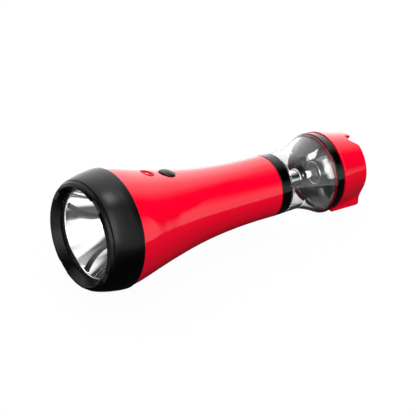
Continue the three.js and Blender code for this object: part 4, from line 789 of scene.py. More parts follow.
@dataclass
class Head(Assembly):
    """Bezel, lens, mirror and lamp at the front of the torch."""

    rear_radius: float = 44.0
    flank: tuple[tuple[float, float], ...] = (
        (-4.4, 43.85), (-8, 43.4), (-12.3, 42.75), (-16.6, 41.85), (-19.6, 41.05),
    )
    flank_start: float = -0.9
    flank_end: tuple[float, float] = (0.12, 0.08)
    flank_spans: int = 36
    groove_station: float = -22.2
    groove_radius: float = 40.1
    groove_width: float = 0.7
    groove_depth: float = 1.0
    nose_station: float = -25.0
    nose_radius: float = 38.4
    crest_radius: float = 36.8
    crest_width: float = 1.1
    crest_falls: tuple[float, float] = (0.35, 0.5)
    lip_radius: float = 32.3
    lip_station: float = -20.0
    lip_edge: float = 0.6
    pocket_radius: float = 35.2
    pocket_depth: float = 3.0
    socket_radius: float = 40.4
    socket_depth: float = 15.0
    shoulder_rise: float = 1.2
    longest_span: float = 0.5
    recess_count: int = 4
    recess_start: float = 21.0
    recess_span: float = 21.0
    recess_ramp: float = 5.0
    recess_step: tuple[float, float] = (-0.25, 0.55)
    recess_depth: float = 1.8
    crest_room: float = 0.05
    rim_depth: float = 3.2
    rim_blend: float = 0.18
    lens_span: float = 2.5
    lens_core: float = 0.5
    gasket_width: float = 2.1
    mirror_radius: float = 32.2
    mirror_flange: float = 38.8
    mirror_neck: float = 5.0
    mirror_wall: float = 1.3
    mirror_rise: float = 0.25
    mirror_rows: int = 90
    flange_thickness: float = 1.2
    led_radius: float = 2.6
    led_foot_radius: float = 3.4
    led_sink: float = 1.2
    led_foot_height: float = 1.4
    columns: int = 960

    def build(self) -> None:
        """Builds and dresses the pieces of the head."""
        self.bezel()
        self.lens()
        self.gasket()
        self.mirror()
        self.lamp()

    def recess_floor(self, angle: np.ndarray) -> np.ndarray:
        """Furthest forward station of the rim: the crest, or the recess floor, which falls
        steeply at its start and rises in an even ramp at its end.

        Args:
            angle: angles round the axis.

        Returns:
            The station at each angle.
        """
        quarter = 360 / self.recess_count
        into = np.degrees(np.mod(angle - math.radians(self.recess_start), math.radians(quarter)))
        low, high = self.recess_step
        next_step = smooth_step(quarter + low, quarter + high, into)
        ramp = 1 - smooth_step(self.recess_span - self.recess_ramp, self.recess_span, into)
        depth = np.where(into > quarter / 2, next_step,
                         (smooth_step(low, high, into) + next_step) * ramp)
        return AT.bezel_front - self.crest_room + (self.recess_depth + self.crest_room) * depth

    def bezel(self) -> None:
        """Convex ring turned about the axis, its front rim held back to the recess floor."""
        rise, drop = self.flank_end
        outer = curve_through(np.array([
            (self.flank_start, self.rear_radius), *self.flank,
            (self.groove_station + rise, self.groove_radius + drop),
        ]), self.flank_spans)
        groove, width = self.groove_station, self.groove_width
        outer_fall, inner_fall = self.crest_falls
        line = densified(rounded([
            (0, self.socket_radius, 0.3), (0, self.rear_radius, 0.35),
            *((x, r, 0.0) for x, r in outer),
            (groove, self.groove_radius, 0.10),
            (groove - width / 2, self.groove_radius - self.groove_depth, 0.12),
            (groove - width, self.groove_radius - self.groove_depth / 2, 0.12),
            (self.nose_station, self.nose_radius, 0.7),
            (AT.bezel_front + outer_fall, self.crest_radius, 0.45),
            (AT.bezel_front, self.crest_radius - self.crest_width / 2, 0.35),
            (AT.bezel_front + inner_fall, self.crest_radius - self.crest_width, 0.4),
            (self.lip_station - self.lip_edge, self.lip_radius, 0.35),
            (self.lip_station, self.lip_radius, 0.12),
            (self.lip_station, self.pocket_radius, 0.3),
            (self.lip_station + self.pocket_depth, self.pocket_radius, 0.3),
            (-self.socket_depth - self.shoulder_rise, self.socket_radius - self.shoulder_rise, 0.3),
            (-self.socket_depth, self.socket_radius, 0.3),
        ], closed=True), self.longest_span, closed=True)
        angle = even_turn(self.columns)[None]
        station = line[:, :1]
        held = faired_max(station, self.recess_floor(angle), self.rim_blend)
        station = np.where(station < AT.bezel_front + self.rim_depth, held, station)
        self.surfaces.add("bezel", polar(station, line[:, 1:], angle), SATIN_BLACK, Body.TORCH,
                          "bezel_ring")

    def lens(self) -> None:
        """Flat clear window with rounded edges."""
        edge = self.pocket_radius - GAP
        line = densified(rounded([
            (AT.lens_front, self.lens_core, 0), (AT.lens_front, edge, 0.3),
            (AT.lens_rear, edge, 0.3), (AT.lens_rear, self.lens_core, 0),
        ]), self.lens_span)
        self.surfaces.add("lens", revolved(line, 192), LENS_CLEAR, Body.TORCH, "front_lens",
                          closed_rows=False)

    def gasket(self) -> None:
        """Flat ring of rubber behind the lens."""
        front, rear = AT.lens_rear + GAP, AT.mirror_front - GAP
        edge = self.pocket_radius - GAP
        bore = edge - self.gasket_width
        line = rounded([
            (front, bore, 0.2), (front, edge, 0.2), (rear, edge, 0.2), (rear, bore, 0.2),
        ], closed=True)
        self.surfaces.add("lens_seal", revolved(line, 192), SEAL, Body.TORCH, "lens_gasket")

    def mirror(self) -> None:
        """Parabola: depth grows with the square of the radius from neck to mouth, then a flange."""
        radius = np.linspace(self.mirror_neck, self.mirror_radius, self.mirror_rows)
        rise = (radius**2 - self.mirror_neck**2) / (self.mirror_radius**2 - self.mirror_neck**2)
        depth = AT.neck - AT.mirror_front - self.mirror_rise
        inner = np.stack((AT.neck - rise * depth, radius), axis=1)
        flange_rear = AT.mirror_front + self.flange_thickness
        back = inner[::-1] + (0.0, self.mirror_wall)
        back = back[back[:, 0] > flange_rear + 0.3]
        rim = rounded([
            (AT.mirror_front + 0.3, self.mirror_radius - 0.05, 0),
            (AT.mirror_front, self.mirror_radius + 0.3, 0.2),
            (AT.mirror_front, self.mirror_flange, 0.2), (flange_rear, self.mirror_flange, 0.2),
            (flange_rear, back[0, 1] + 0.3, 0.2), (back[0, 0], back[0, 1], 0),
        ])
        line = np.concatenate((inner[:-1], rim[:-1], back))
        self.surfaces.add("head_mirror", revolved(line, 384), MIRROR, Body.TORCH,
                          "head_reflector", sharp=50)

    def lamp(self) -> None:
        """Dome of the head lamp on its round foot, seen through the mirror's neck."""
        foot = AT.neck + self.led_sink
        base = foot - self.led_foot_height
        bulb = dome(base, self.led_radius, np.linspace(0.02, math.pi / 2, 16), -1)
        foot_line = rounded([
            (base, self.led_radius, 0), (base, self.led_foot_radius, 0.3),
            (foot, self.led_foot_radius, 0.2), (foot, CORE, 0),
        ])
        # The lamp finish's faint glow is painted light.
        self.surfaces.add("head_lamp", revolved(np.concatenate((bulb, foot_line)), 64), LAMP,
                          Body.TORCH, "head_led", closed_rows=False)


@dataclass
class Shell(Assembly):
    """Red body with its button and its signal lens."""

    front_radius: float = 43.5
    grip_radius: float = 23.2
    length: float = 137.8
    wall: float = 2.2
    end_round: float = 0.25
    swell: tuple[float, ...] = (1, 0.892, 0.719, 0.517, 0.3, 0.143, 0.049, 0.01, 0)
    swell_shares: tuple[float, ...] = (0, 0.08, 0.18, 0.3, 0.45, 0.6, 0.75, 0.88, 1)
    button_station: float = 47.8
    button_radius: float = 6.0
    button_proud: float = 0.5
    button_crown: float = 1.5
    crown_power: float = 0.8
    button_levels: tuple[float, float, float] = (-6.2, -4.6, -3.6)
    button_stem: float = 1.8
    button_flange: float = 7.3
    button_core: float = 0.4
    button_dish: float = 8.2
    button_dish_depth: float = 0.7
    button_steps: tuple[float, ...] = (
        0.03, 0.08, 0.16, 0.28, 0.48, 0.75, 1.05, 1.35, 1.65, 1.95, 2.3,
    )
    signal_station: float = 30.2
    signal_hole: float = 2.7
    signal_dish: float = 4.5
    signal_dish_depth: float = 1.1
    signal_slope: tuple[tuple[float, float], ...] = ((3.4, -0.86), (3.95, -0.55), (4.3, -0.15))
    signal_steps: tuple[float, ...] = (
        0.03, 0.08, 0.16, 0.32, 0.52, 0.76, 1.0, 1.25, 1.5, 1.75, 2.05,
    )
    signal_radius: float = 2.4
    signal_foot: float = -4.2
    signal_recess: float = 0.3
    signal_crown: float = 0.7
    signal_rim: tuple[float, float] = (2.75, 5.3)
    signal_rim_levels: tuple[float, float] = (0.12, 0.03)
    signal_rim_foot: float = -1.6
    rings: int = 26
    fading_rings: int = 9
    hole_ring: int = 12
    dish_blend: float = 0.16
    patch_reach: float = 9.9
    patch_radius: float = 38.7
    signal_reach: float = 6.2
    side_columns: int = 200
    end_steps: tuple[float, ...] = (0, 0.08, 0.25)
    plain_ends: tuple[float, float] = (1.6, 136.9)
    plain_rows: tuple[int, int] = (18, 64)
    front_spigot_radius: float = 40.1
    front_spigot_wall: float = 2.6
    front_spigot: tuple[float, float] = (-14.4, 2.3)
    rear_spigot_bore: float = 18.6
    rear_spigot_radius: float = 20.6
    rear_spigot_shoulder: float = 21.5
    rear_spigot: tuple[float, float, float] = (135.5, 137.4, 142.1)

    def build(self) -> None:
        """Builds and dresses the body and what sits in its top line."""
        self.skin()
        self.walls()
        self.button()
        self.signal()

    def radius_at(self, station: np.ndarray, inset: float = 0.0) -> np.ndarray:
        """Outer radius of the body: the smooth line through its swell shares.

        Args:
            station: where to look.
            inset: wall to take off.

        Returns:
            The radius at each station.
        """
        stations = GAP + (self.length - 2 * GAP) * np.array(self.swell_shares)
        radii = self.grip_radius + (self.front_radius - self.grip_radius) * np.array(self.swell)
        line = curve_through(np.stack((stations, radii), axis=1), 400)
        return np.interp(station, line[:, 0], line[:, 1]) - inset

    def slope_at(self, station: float) -> float:
        """Fall of the body's top line, over a button's width.

        Args:
            station: where to look.

        Returns:
            The angle of the fall.
        """
        reach = self.button_radius
        ends = self.radius_at(np.array((station - reach, station + reach)))
        return math.atan2(float(ends[0] - ends[1]), 2 * reach)

    def frame_at(self, station: float) -> np.ndarray:
        """Local frame on the top line.

        Args:
            station: where it stands.

        Returns:
            Columns: along, aside, outwards and the point itself.
        """
        slope = self.slope_at(station)
        return np.array([
            (math.cos(slope), 0.0, math.sin(slope), station),
            (0.0, -1.0, 0.0, 0.0),
            (-math.sin(slope), 0.0, math.cos(slope), float(self.radius_at(np.array(station)))),
        ])

    def upright(self, station: float) -> Matrix:
        """Frame whose x runs outwards from the top line.

        Args:
            station: where it stands.

        Returns:
            The turn and shift.
        """
        slope = self.slope_at(station)
        out = Vector((math.sin(slope), 0, math.cos(slope)))
        along = Vector((math.cos(slope), 0, -math.sin(slope)))
        turn = Matrix((out, out.cross(along), -along)).transposed().to_4x4()
        turn.translation = Vector((station, 0, float(self.radius_at(np.array(station)))))
        return turn

    def surface_height(self, local: np.ndarray, flat: np.ndarray, inset: float) -> np.ndarray:
        """Height of the body above the local plane, found by stepping along the local normal until
        the distance from the axis equals the body's radius.

        Args:
            local: columns of the local frame.
            flat: points in its plane.
            inset: wall to take off.

        Returns:
            The height at each point.
        """
        along, aside, out, origin = local.T
        base = origin + flat[..., :1] * along + flat[..., 1:] * aside
        height = np.zeros(flat.shape[:-1])
        for _ in range(8):
            point = base + height[..., None] * out
            reach = np.hypot(point[..., 1], point[..., 2])
            height = height - (reach - self.radius_at(point[..., 0], inset))
        return height

    def patched(self, grid: np.ndarray, station: float, row: int, radii: np.ndarray,
                profile: np.ndarray | None, inset: float) -> None:
        """Bends the square rings of a patch of the grid into circles about a point of the top line.

        A ring's corner points move onto the circle of that ring in the local plane, and the outer
        rings fade back to the plain grid. The height is the lower of the body and the profile.

        Args:
            grid: rows by columns by three, changed in place.
            station: station of the patch's middle.
            row: its row.
            radii: radius of each ring.
            profile: rows of distance and height of a dish, where there is one.
            inset: wall to take off.
        """
        step = np.arange(-self.rings, self.rings + 1)
        cells = np.ix_(row + step, step % grid.shape[1])
        patch = grid[cells]
        local = self.frame_at(station)
        along, aside, out, origin = local.T
        plain = np.stack(((patch - origin) @ along, (patch - origin) @ aside), axis=-1)
        down, across = np.meshgrid(step, step, indexing="ij")
        ring = np.maximum(np.abs(down), np.abs(across))
        safe = np.maximum(ring, 1)
        steep = np.abs(down) >= np.abs(across)
        turn = np.where(steep, np.pi / 4 * across / safe, np.pi / 4 * down / safe)
        unit_long, unit_short = np.cos(turn), np.sin(turn)
        direction = np.where(
            steep[..., None],
            np.stack((unit_long * np.sign(down), unit_short), axis=-1),
            np.stack((unit_short, unit_long * np.sign(across)), axis=-1),
        )
        circle = direction * radii[ring][..., None]
        share = smooth_step(self.rings - self.fading_rings, self.rings, ring)[..., None]
        flat = circle * (1 - share) + plain * share
        height = self.surface_height(local, flat, inset)
        if profile is not None:
            dish = np.interp(np.hypot(flat[..., 0], flat[..., 1]), *profile.T)
            height = -faired_max(-height, -dish, self.dish_blend)
        grid[cells] = (
            origin + flat[..., :1] * along + flat[..., 1:] * aside + height[..., None] * out
        )

    def ring_radii(self, hole: float, steps: tuple[float, ...], reach: float) -> np.ndarray:
        """Radius of each ring: even inside the hole, close at its edge, then out to the patch.

        Args:
            hole: radius of the hole.
            steps: distances of the close rings from the hole's edge.
            reach: half the width of the patch.

        Returns:
            One radius for each ring.
        """
        near = hole + np.array(steps)
        left = self.rings - self.hole_ring - len(steps)
        return np.concatenate((
            np.linspace(0, hole, self.hole_ring + 1), near,
            np.linspace(near[-1], reach, left + 1)[1:],
        ))

    def dishes(self) -> tuple[np.ndarray, np.ndarray]:
        """Profiles of the dishes round the button and the signal lens.

        Returns:
            Rows of distance and height of each: a small fall into the hole and a slope outside.
        """
        hole, depth = self.button_radius + GAP, -self.button_dish_depth
        button = np.array((
            (hole, depth - 0.3), (hole + 0.03, depth - 0.12), (hole + 0.1, depth - 0.02),
            (hole + GAP, depth), (self.button_dish, GAP),
        ))
        hole, depth = self.signal_hole, -self.signal_dish_depth
        signal = np.array((
            (hole, depth - 0.3), (hole + 0.03, depth - 0.1), (hole + 0.1, depth),
            *self.signal_slope, (self.signal_dish, GAP),
        ))
        return button, signal

    def skin(self) -> None:
        """Swelling tube with two round holes in its top line, the outer and the inner skin joined
        at both ends and round each hole."""
        half = self.patch_reach / self.patch_radius
        side = np.linspace(half, FULL_TURN - half, self.side_columns)[1:-1]
        top = np.linspace(-half, half, 2 * self.rings + 1)
        angle = np.concatenate((top[self.rings:], side, top[:self.rings]))[None]
        ends = np.array(self.end_steps)
        first, last = self.plain_ends
        front_rows, rear_rows = self.plain_rows
        signal, button = self.signal_station, self.button_station
        across = 2 * self.rings + 1
        stations = np.concatenate((
            AT.body_front + ends, [AT.body_front + 2 * ends[-1]],
            np.linspace(first, signal - self.signal_reach, front_rows)[:-1],
            np.linspace(signal - self.signal_reach, signal + self.signal_reach, across),
            np.linspace(button - self.patch_reach, button + self.patch_reach, across),
            np.linspace(button + self.patch_reach, last, rear_rows)[1:],
            AT.body_rear - ends[::-1],
        ))
        signal_row = int(np.argmin(np.abs(stations - signal)))
        button_row = int(np.argmin(np.abs(stations - button)))
        end = np.minimum(stations - AT.body_front, AT.body_rear - stations)
        radius = self.radius_at(stations)
        outside = radius - edge_inset(end, self.end_round)
        outer = polar(stations[:, None], outside[:, None], angle)
        inner = polar(stations[:, None], (radius - self.wall)[:, None], angle)
        button_rings = self.ring_radii(self.button_radius + GAP, self.button_steps,
                                       self.patch_reach)
        signal_rings = self.ring_radii(self.signal_hole, self.signal_steps, self.signal_reach)
        button_dish, signal_dish = self.dishes()
        for row, station, radii, profile in (
            (button_row, button, button_rings, button_dish),
            (signal_row, signal, signal_rings, signal_dish),
        ):
            self.patched(outer, station, row, radii, profile, 0.0)
            self.patched(inner, station, row, radii, None, self.wall)
        self.surfaces.add_shell("body", outer, inner, RED, Body.TORCH, [button_row, signal_row],
                                self.hole_ring, "body_shell")

    def walls(self) -> None:
        """Spigots at both ends of the body, turned about the axis."""
        radius, (front, rear) = self.front_spigot_radius, self.front_spigot
        bore = radius - self.front_spigot_wall
        line = rounded([
            (front, bore, 0.3), (front, radius, 0.3), (rear, radius, 0.3), (rear, bore, 0.3),
        ], closed=True)
        self.surfaces.add("body_front_spigot", revolved(line, 128), RED, Body.TORCH)
        bore, radius, shoulder = (
            self.rear_spigot_bore, self.rear_spigot_radius, self.rear_spigot_shoulder
        )
        front, step, rear = self.rear_spigot
        line = rounded([
            (front, bore, 0.3), (front, shoulder, 0.3), (step, shoulder, 0.2),
            (step, radius, 0.2), (rear, radius, 0.3), (rear, bore, 0.3),
        ], closed=True)
        self.surfaces.add("body_rear_spigot", revolved(line, 96), RED, Body.TORCH)

    def button(self) -> None:
        """Domed button with its flange and stem, turned about the local normal. Its crown falls
        as a power of one less the square of the share of its radius."""
        share = np.linspace(0, 1, 24)
        crown = np.stack((
            self.button_proud + self.button_crown * (1 - share**2)**self.crown_power,
            self.button_radius * share,
        ), axis=1)[::-1]
        foot, low, high = self.button_levels
        line = rounded([
            (foot, self.button_core, 0), (foot, self.button_stem, 0.3),
            (low, self.button_stem, 0.2), (low, self.button_flange, 0.2),
            (high, self.button_flange, 0.2), (high, self.button_radius, 0.2),
            (self.button_proud - 0.05, self.button_radius, 0),
        ])
        self.surfaces.add("button", revolved(np.concatenate((line, crown[:-1])), 128),
                          BUTTON_BLACK, Body.BUTTON, "switch_button", closed_rows=False,
                          local=self.upright(self.button_station))

    def signal(self) -> None:
        """Signal lens, whose dome falls with the square of the radius, and the thin ring round
        it, both turned about the local normal."""
        local = self.upright(self.signal_station)
        top, radius = -self.signal_recess, self.signal_radius
        share = np.linspace(1, 0.05, 12)
        crown = np.stack((top - self.signal_crown * share**2, radius * share), axis=1)
        foot = rounded([
            (self.signal_foot, CORE, 0), (self.signal_foot, radius, 0.3),
            (top - self.signal_crown - 0.01, radius, 0),
        ])
        # The lens's faint glow is painted light.
        self.surfaces.add("signal_lens", revolved(np.concatenate((foot, crown)), 64), SIGNAL,
                          Body.TORCH, "indicator_lens", closed_rows=False, local=local)
        # The ring's darker red is painted shade of the recess round the lens.
        inner, outer = self.signal_rim
        high, low = self.signal_rim_levels
        rim = rounded([
            (self.signal_rim_foot, inner, 0.1), (high, inner, 0.2), (low, outer, 0.1),
            (low - 0.3, outer, 0.1),
        ], closed=True)
        self.surfaces.add("signal_rim", revolved(rim, 96), SHADED_RIM_RED, Body.TORCH, local=local)


@dataclass(frozen=True)
class Collar:
    """Black ring beside the globe.

    Args:
        name: name of the piece.
        node: CAD node that it stands for.
        front: station of its front face.
        rear: station of its rear face.
        front_radius: outer radius in front.
        rear_radius: outer radius behind.
        bore: inner radius.
    """

    name: str
    node: str
    front: float
    rear: float
    front_radius: float
    rear_radius: float
    bore: float


@dataclass
class Lantern(Assembly):
    """Clear globe between two black collars, with its post, lamp and bowl."""

    collars: tuple[Collar, ...] = (
        Collar("collar_front", "front_collar", AT.collar_front, AT.globe_front, 23.3, 23.0, 20.9),
        Collar("collar_rear", "rear_collar", AT.globe_rear, AT.collar_rear, 30.8, 29.9, 28.5),
    )
    collar_edge: float = 0.6
    collar_span: float = 1.5
    front_radius: float = 22.9
    throat_radius: float = 22.4
    rear_radius: float = 30.2
    flare_start: float = 0.4
    flare_power: float = 1.35
    wall: float = 2.3
    bend_room: float = 0.6
    spigot_front: float = 144.3
    spigot_bore: float = 18.6
    spigot_radius: float = 20.6
    band_ends: tuple[float, float] = (1.7, 0.1)
    band_rise: float = 0.16
    band_wall: float = 0.14
    post_ends: tuple[float, float] = (142.4, 144.0)
    post_core: float = 0.5
    post_radius: float = 6.5
    post_fillet: float = 2.2
    shoulder_radius: float = 7.0
    shoulder_width: float = 1.4
    shoulder_offset: float = 20.6
    tip_radius: float = 3.7
    tip_offset: float = 26.2
    lamp_offset: float = 26.5
    lamp_length: float = 9.0
    led_radius: float = 2.6
    sleeve_length: float = 3.4
    sleeve_radius: float = 2.2
    sleeve_rim: tuple[float, float] = (1.0, 3.0)
    bowl_radius: float = 25.3
    bowl_edge: float = 0.7
    bowl_offset: float = 1.3
    bowl_core: float = 0.4
    bowl_rim: float = 27.7
    bowl_rim_station: float = 184.15
    bowl_rim_wall: float = 0.35
    bowl_depth: float = 4.2
    bowl_wall: float = 0.9
    bowl_ring: float = 9.0
    bowl_ring_wall: float = 1.0
    bowl_ring_offset: float = 0.6
    trim_sizes: tuple[float, float] = (0.45, 0.5)

    def build(self) -> None:
        """Builds and dresses the pieces of the lantern."""
        for collar in self.collars:
            self.collar(collar)
        self.globe()
        self.band()
        self.post()
        self.lamp()
        self.bowl()

    def collar(self, ring: Collar) -> None:
        """Slightly tapered ring with rounded edges.

        Args:
            ring: its sizes.
        """
        line = densified(rounded([
            (ring.front, ring.bore, 0.3), (ring.front, ring.front_radius, self.collar_edge),
            (ring.rear, ring.rear_radius, self.collar_edge), (ring.rear, ring.bore, 0.3),
        ], closed=True), self.collar_span, closed=True)
        self.surfaces.add(ring.name, revolved(line, 256), GLOSS_BLACK, Body.TORCH, ring.node)

    def globe_radius(self, share: np.ndarray) -> np.ndarray:
        """Outer radius along the globe: a slight taper, then a flare that grows as a power.

        Args:
            share: shares of the globe's length.

        Returns:
            The radius at each share.
        """
        neck = np.minimum(share / self.flare_start, 1)
        into = np.maximum((share - self.flare_start) / (1 - self.flare_start), 0)
        return (self.front_radius + (self.throat_radius - self.front_radius) * neck
                + (self.rear_radius - self.throat_radius) * into**self.flare_power)

    def globe(self) -> None:
        """Flaring clear tube with an even wall and a spigot in the front collar."""
        front, rear = AT.globe_front + GAP, AT.globe_rear - GAP
        share = np.linspace(0, 1, 60)
        outer = np.stack((front + (rear - front) * share, self.globe_radius(share)), axis=1)
        inner = (outer - (0, self.wall))[::-1]
        inner = inner[inner[:, 0] > front + self.wall + self.bend_room]
        spigot = rounded([
            (inner[-1, 0], inner[-1, 1], 0),
            (front + self.wall, self.front_radius - self.wall, 0.3),
            (front + self.wall, self.spigot_bore, 0.3),
            (self.spigot_front, self.spigot_bore, 0.2),
            (self.spigot_front, self.spigot_radius, 0.2), (front, self.spigot_radius, 0.2),
            (front, self.front_radius, 0.25), (outer[2, 0], outer[2, 1], 0),
        ])
        rim = rounded([
            (outer[-2, 0], outer[-2, 1], 0), (rear, self.rear_radius, 0.25),
            (rear, self.rear_radius - self.wall, 0.25), (inner[1, 0], inner[1, 1], 0),
        ])
        line = np.concatenate((spigot[:-1], outer[2:-2], rim[:-1], inner[1:-1]))
        self.surfaces.add("globe", revolved(line, 256), GLOBE_CLEAR, Body.TORCH, "lantern_globe",
                          sharp=60)

    def band(self) -> None:
        """Thin dark red band on the outside of the globe's rear edge."""
        front, rear = AT.globe_front + GAP, AT.globe_rear - GAP
        first, last = self.band_ends
        station = np.linspace(rear - first, rear - last, 6)
        radius = self.globe_radius((station - front) / (rear - front)) + self.band_rise
        outer = np.stack((station, radius), axis=1)
        line = np.concatenate((outer, (outer - (0, self.band_wall))[::-1]))
        # The band's much darker red is painted shade.
        self.surfaces.add("globe_band", revolved(line, 256), SHADED_BAND_RED, Body.TORCH)

    def post(self) -> None:
        """Bright post: flange, filleted stem, shoulder and tapered tip."""
        shoulder, tip = AT.globe_front + self.shoulder_offset, AT.globe_front + self.tip_offset
        front, rear = self.post_ends
        behind = shoulder + self.shoulder_width
        line = densified(rounded([
            (front, self.post_core, 0), (front, self.spigot_radius, 0.2),
            (rear, self.spigot_radius, 0.2), (rear, self.post_radius, self.post_fillet),
            (shoulder, self.post_radius, 0.25), (shoulder, self.shoulder_radius, 0.3),
            (behind, self.shoulder_radius, 0.3), (behind, self.post_radius, 0.15),
            (tip, self.tip_radius, 0.4), (tip, self.post_core, 0),
        ]), 2.0)
        self.surfaces.add("post", revolved(line, 160), POST_METAL, Body.TORCH, "lantern_post",
                          closed_rows=False)

    def lamp(self) -> None:
        """Lantern lamp: a domed bulb in a short sleeve with a rim."""
        foot = AT.globe_front + self.lamp_offset
        middle = foot + self.lamp_length - self.led_radius
        end = foot + self.sleeve_length
        base = rounded([
            (end, CORE, 0), (end, self.led_radius, 0.15), (middle - 0.01, self.led_radius, 0),
        ])
        bulb = dome(middle, self.led_radius, np.linspace(math.pi / 2, 0.03, 16))
        # The lamp finish's faint glow is painted light.
        self.surfaces.add("lantern_lamp", revolved(np.concatenate((base, bulb)), 64), LAMP,
                          Body.TORCH, "lantern_led", closed_rows=False)
        rim_width, rim_radius = self.sleeve_rim
        sleeve = rounded([
            (foot, CORE, 0), (foot, rim_radius, 0.2), (foot + rim_width, rim_radius, 0.2),
            (foot + rim_width, self.sleeve_radius, 0.15), (end, self.sleeve_radius, 0.1),
            (end, CORE, 0),
        ])
        # The sleeve's darker chrome is painted shade.
        self.surfaces.add("lantern_lamp_sleeve", revolved(sleeve, 64), SHADED_SLEEVE, Body.TORCH,
                          closed_rows=False)

    def bowl_floor(self, radius: np.ndarray | float) -> np.ndarray | float:
        """Station of the bowl's floor, whose depth falls with the square of the radius.

        Args:
            radius: distance from the axis.

        Returns:
            The station there.
        """
        edge = self.bowl_radius - self.bowl_edge
        return AT.globe_rear + self.bowl_offset + self.bowl_depth * (1 - (radius / edge)**2)

    def bowl(self) -> None:
        """Shallow dish with a ring at its middle, a flat rim, and a thin bright trim in the
        ring, which is an oval turned about the axis."""
        floor = self.bowl_floor
        edge = self.bowl_radius - self.bowl_edge
        radius = np.linspace(edge, self.bowl_ring + 0.1, 40)
        front = np.stack((floor(radius), radius), axis=1)
        radius = np.linspace(self.bowl_core, edge, 40)
        back = np.stack((floor(radius) + self.bowl_wall, radius), axis=1)
        ring_front = AT.globe_rear + self.bowl_ring_offset
        bore = self.bowl_ring - self.bowl_ring_wall
        ring = rounded([
            (front[-1, 0], front[-1, 1], 0), (floor(self.bowl_ring), self.bowl_ring, 0.05),
            (ring_front, self.bowl_ring, 0.35), (ring_front, bore, 0.35), (floor(bore), bore, 0.2),
            (floor(self.bowl_core), self.bowl_core, 0),
        ])
        lip = self.bowl_rim_station
        lip_rear = lip + self.bowl_rim_wall
        rim = rounded([
            (back[-1, 0], back[-1, 1], 0),
            (AT.globe_rear + self.bowl_offset + self.bowl_wall, self.bowl_radius, 0.2),
            (lip_rear, self.bowl_radius, 0.1), (lip_rear, self.bowl_rim, 0.1),
            (lip, self.bowl_rim, 0.1), (lip, front[0, 1] + 0.2, 0.3), (front[0, 0], front[0, 1], 0),
        ])
        line = np.concatenate((back[:-1], rim[:-1], front[:-1], ring))
        # The bowl's dimmer mirror coat is painted shade that darkens what it reflects.
        self.surfaces.add("bowl", revolved(line, 256), SHADED_BOWL_MIRROR, Body.TORCH, "lantern_bowl",
                          closed_rows=False, sharp=50)
        turn = even_turn(16)
        thick, wide = self.trim_sizes
        trim = np.stack((
            ring_front + 0.1 - thick * np.cos(turn), bore + wide + wide * np.sin(turn),
        ), axis=1)
        self.surfaces.add("bowl_trim", revolved(trim, 160), POST_METAL, Body.TORCH)


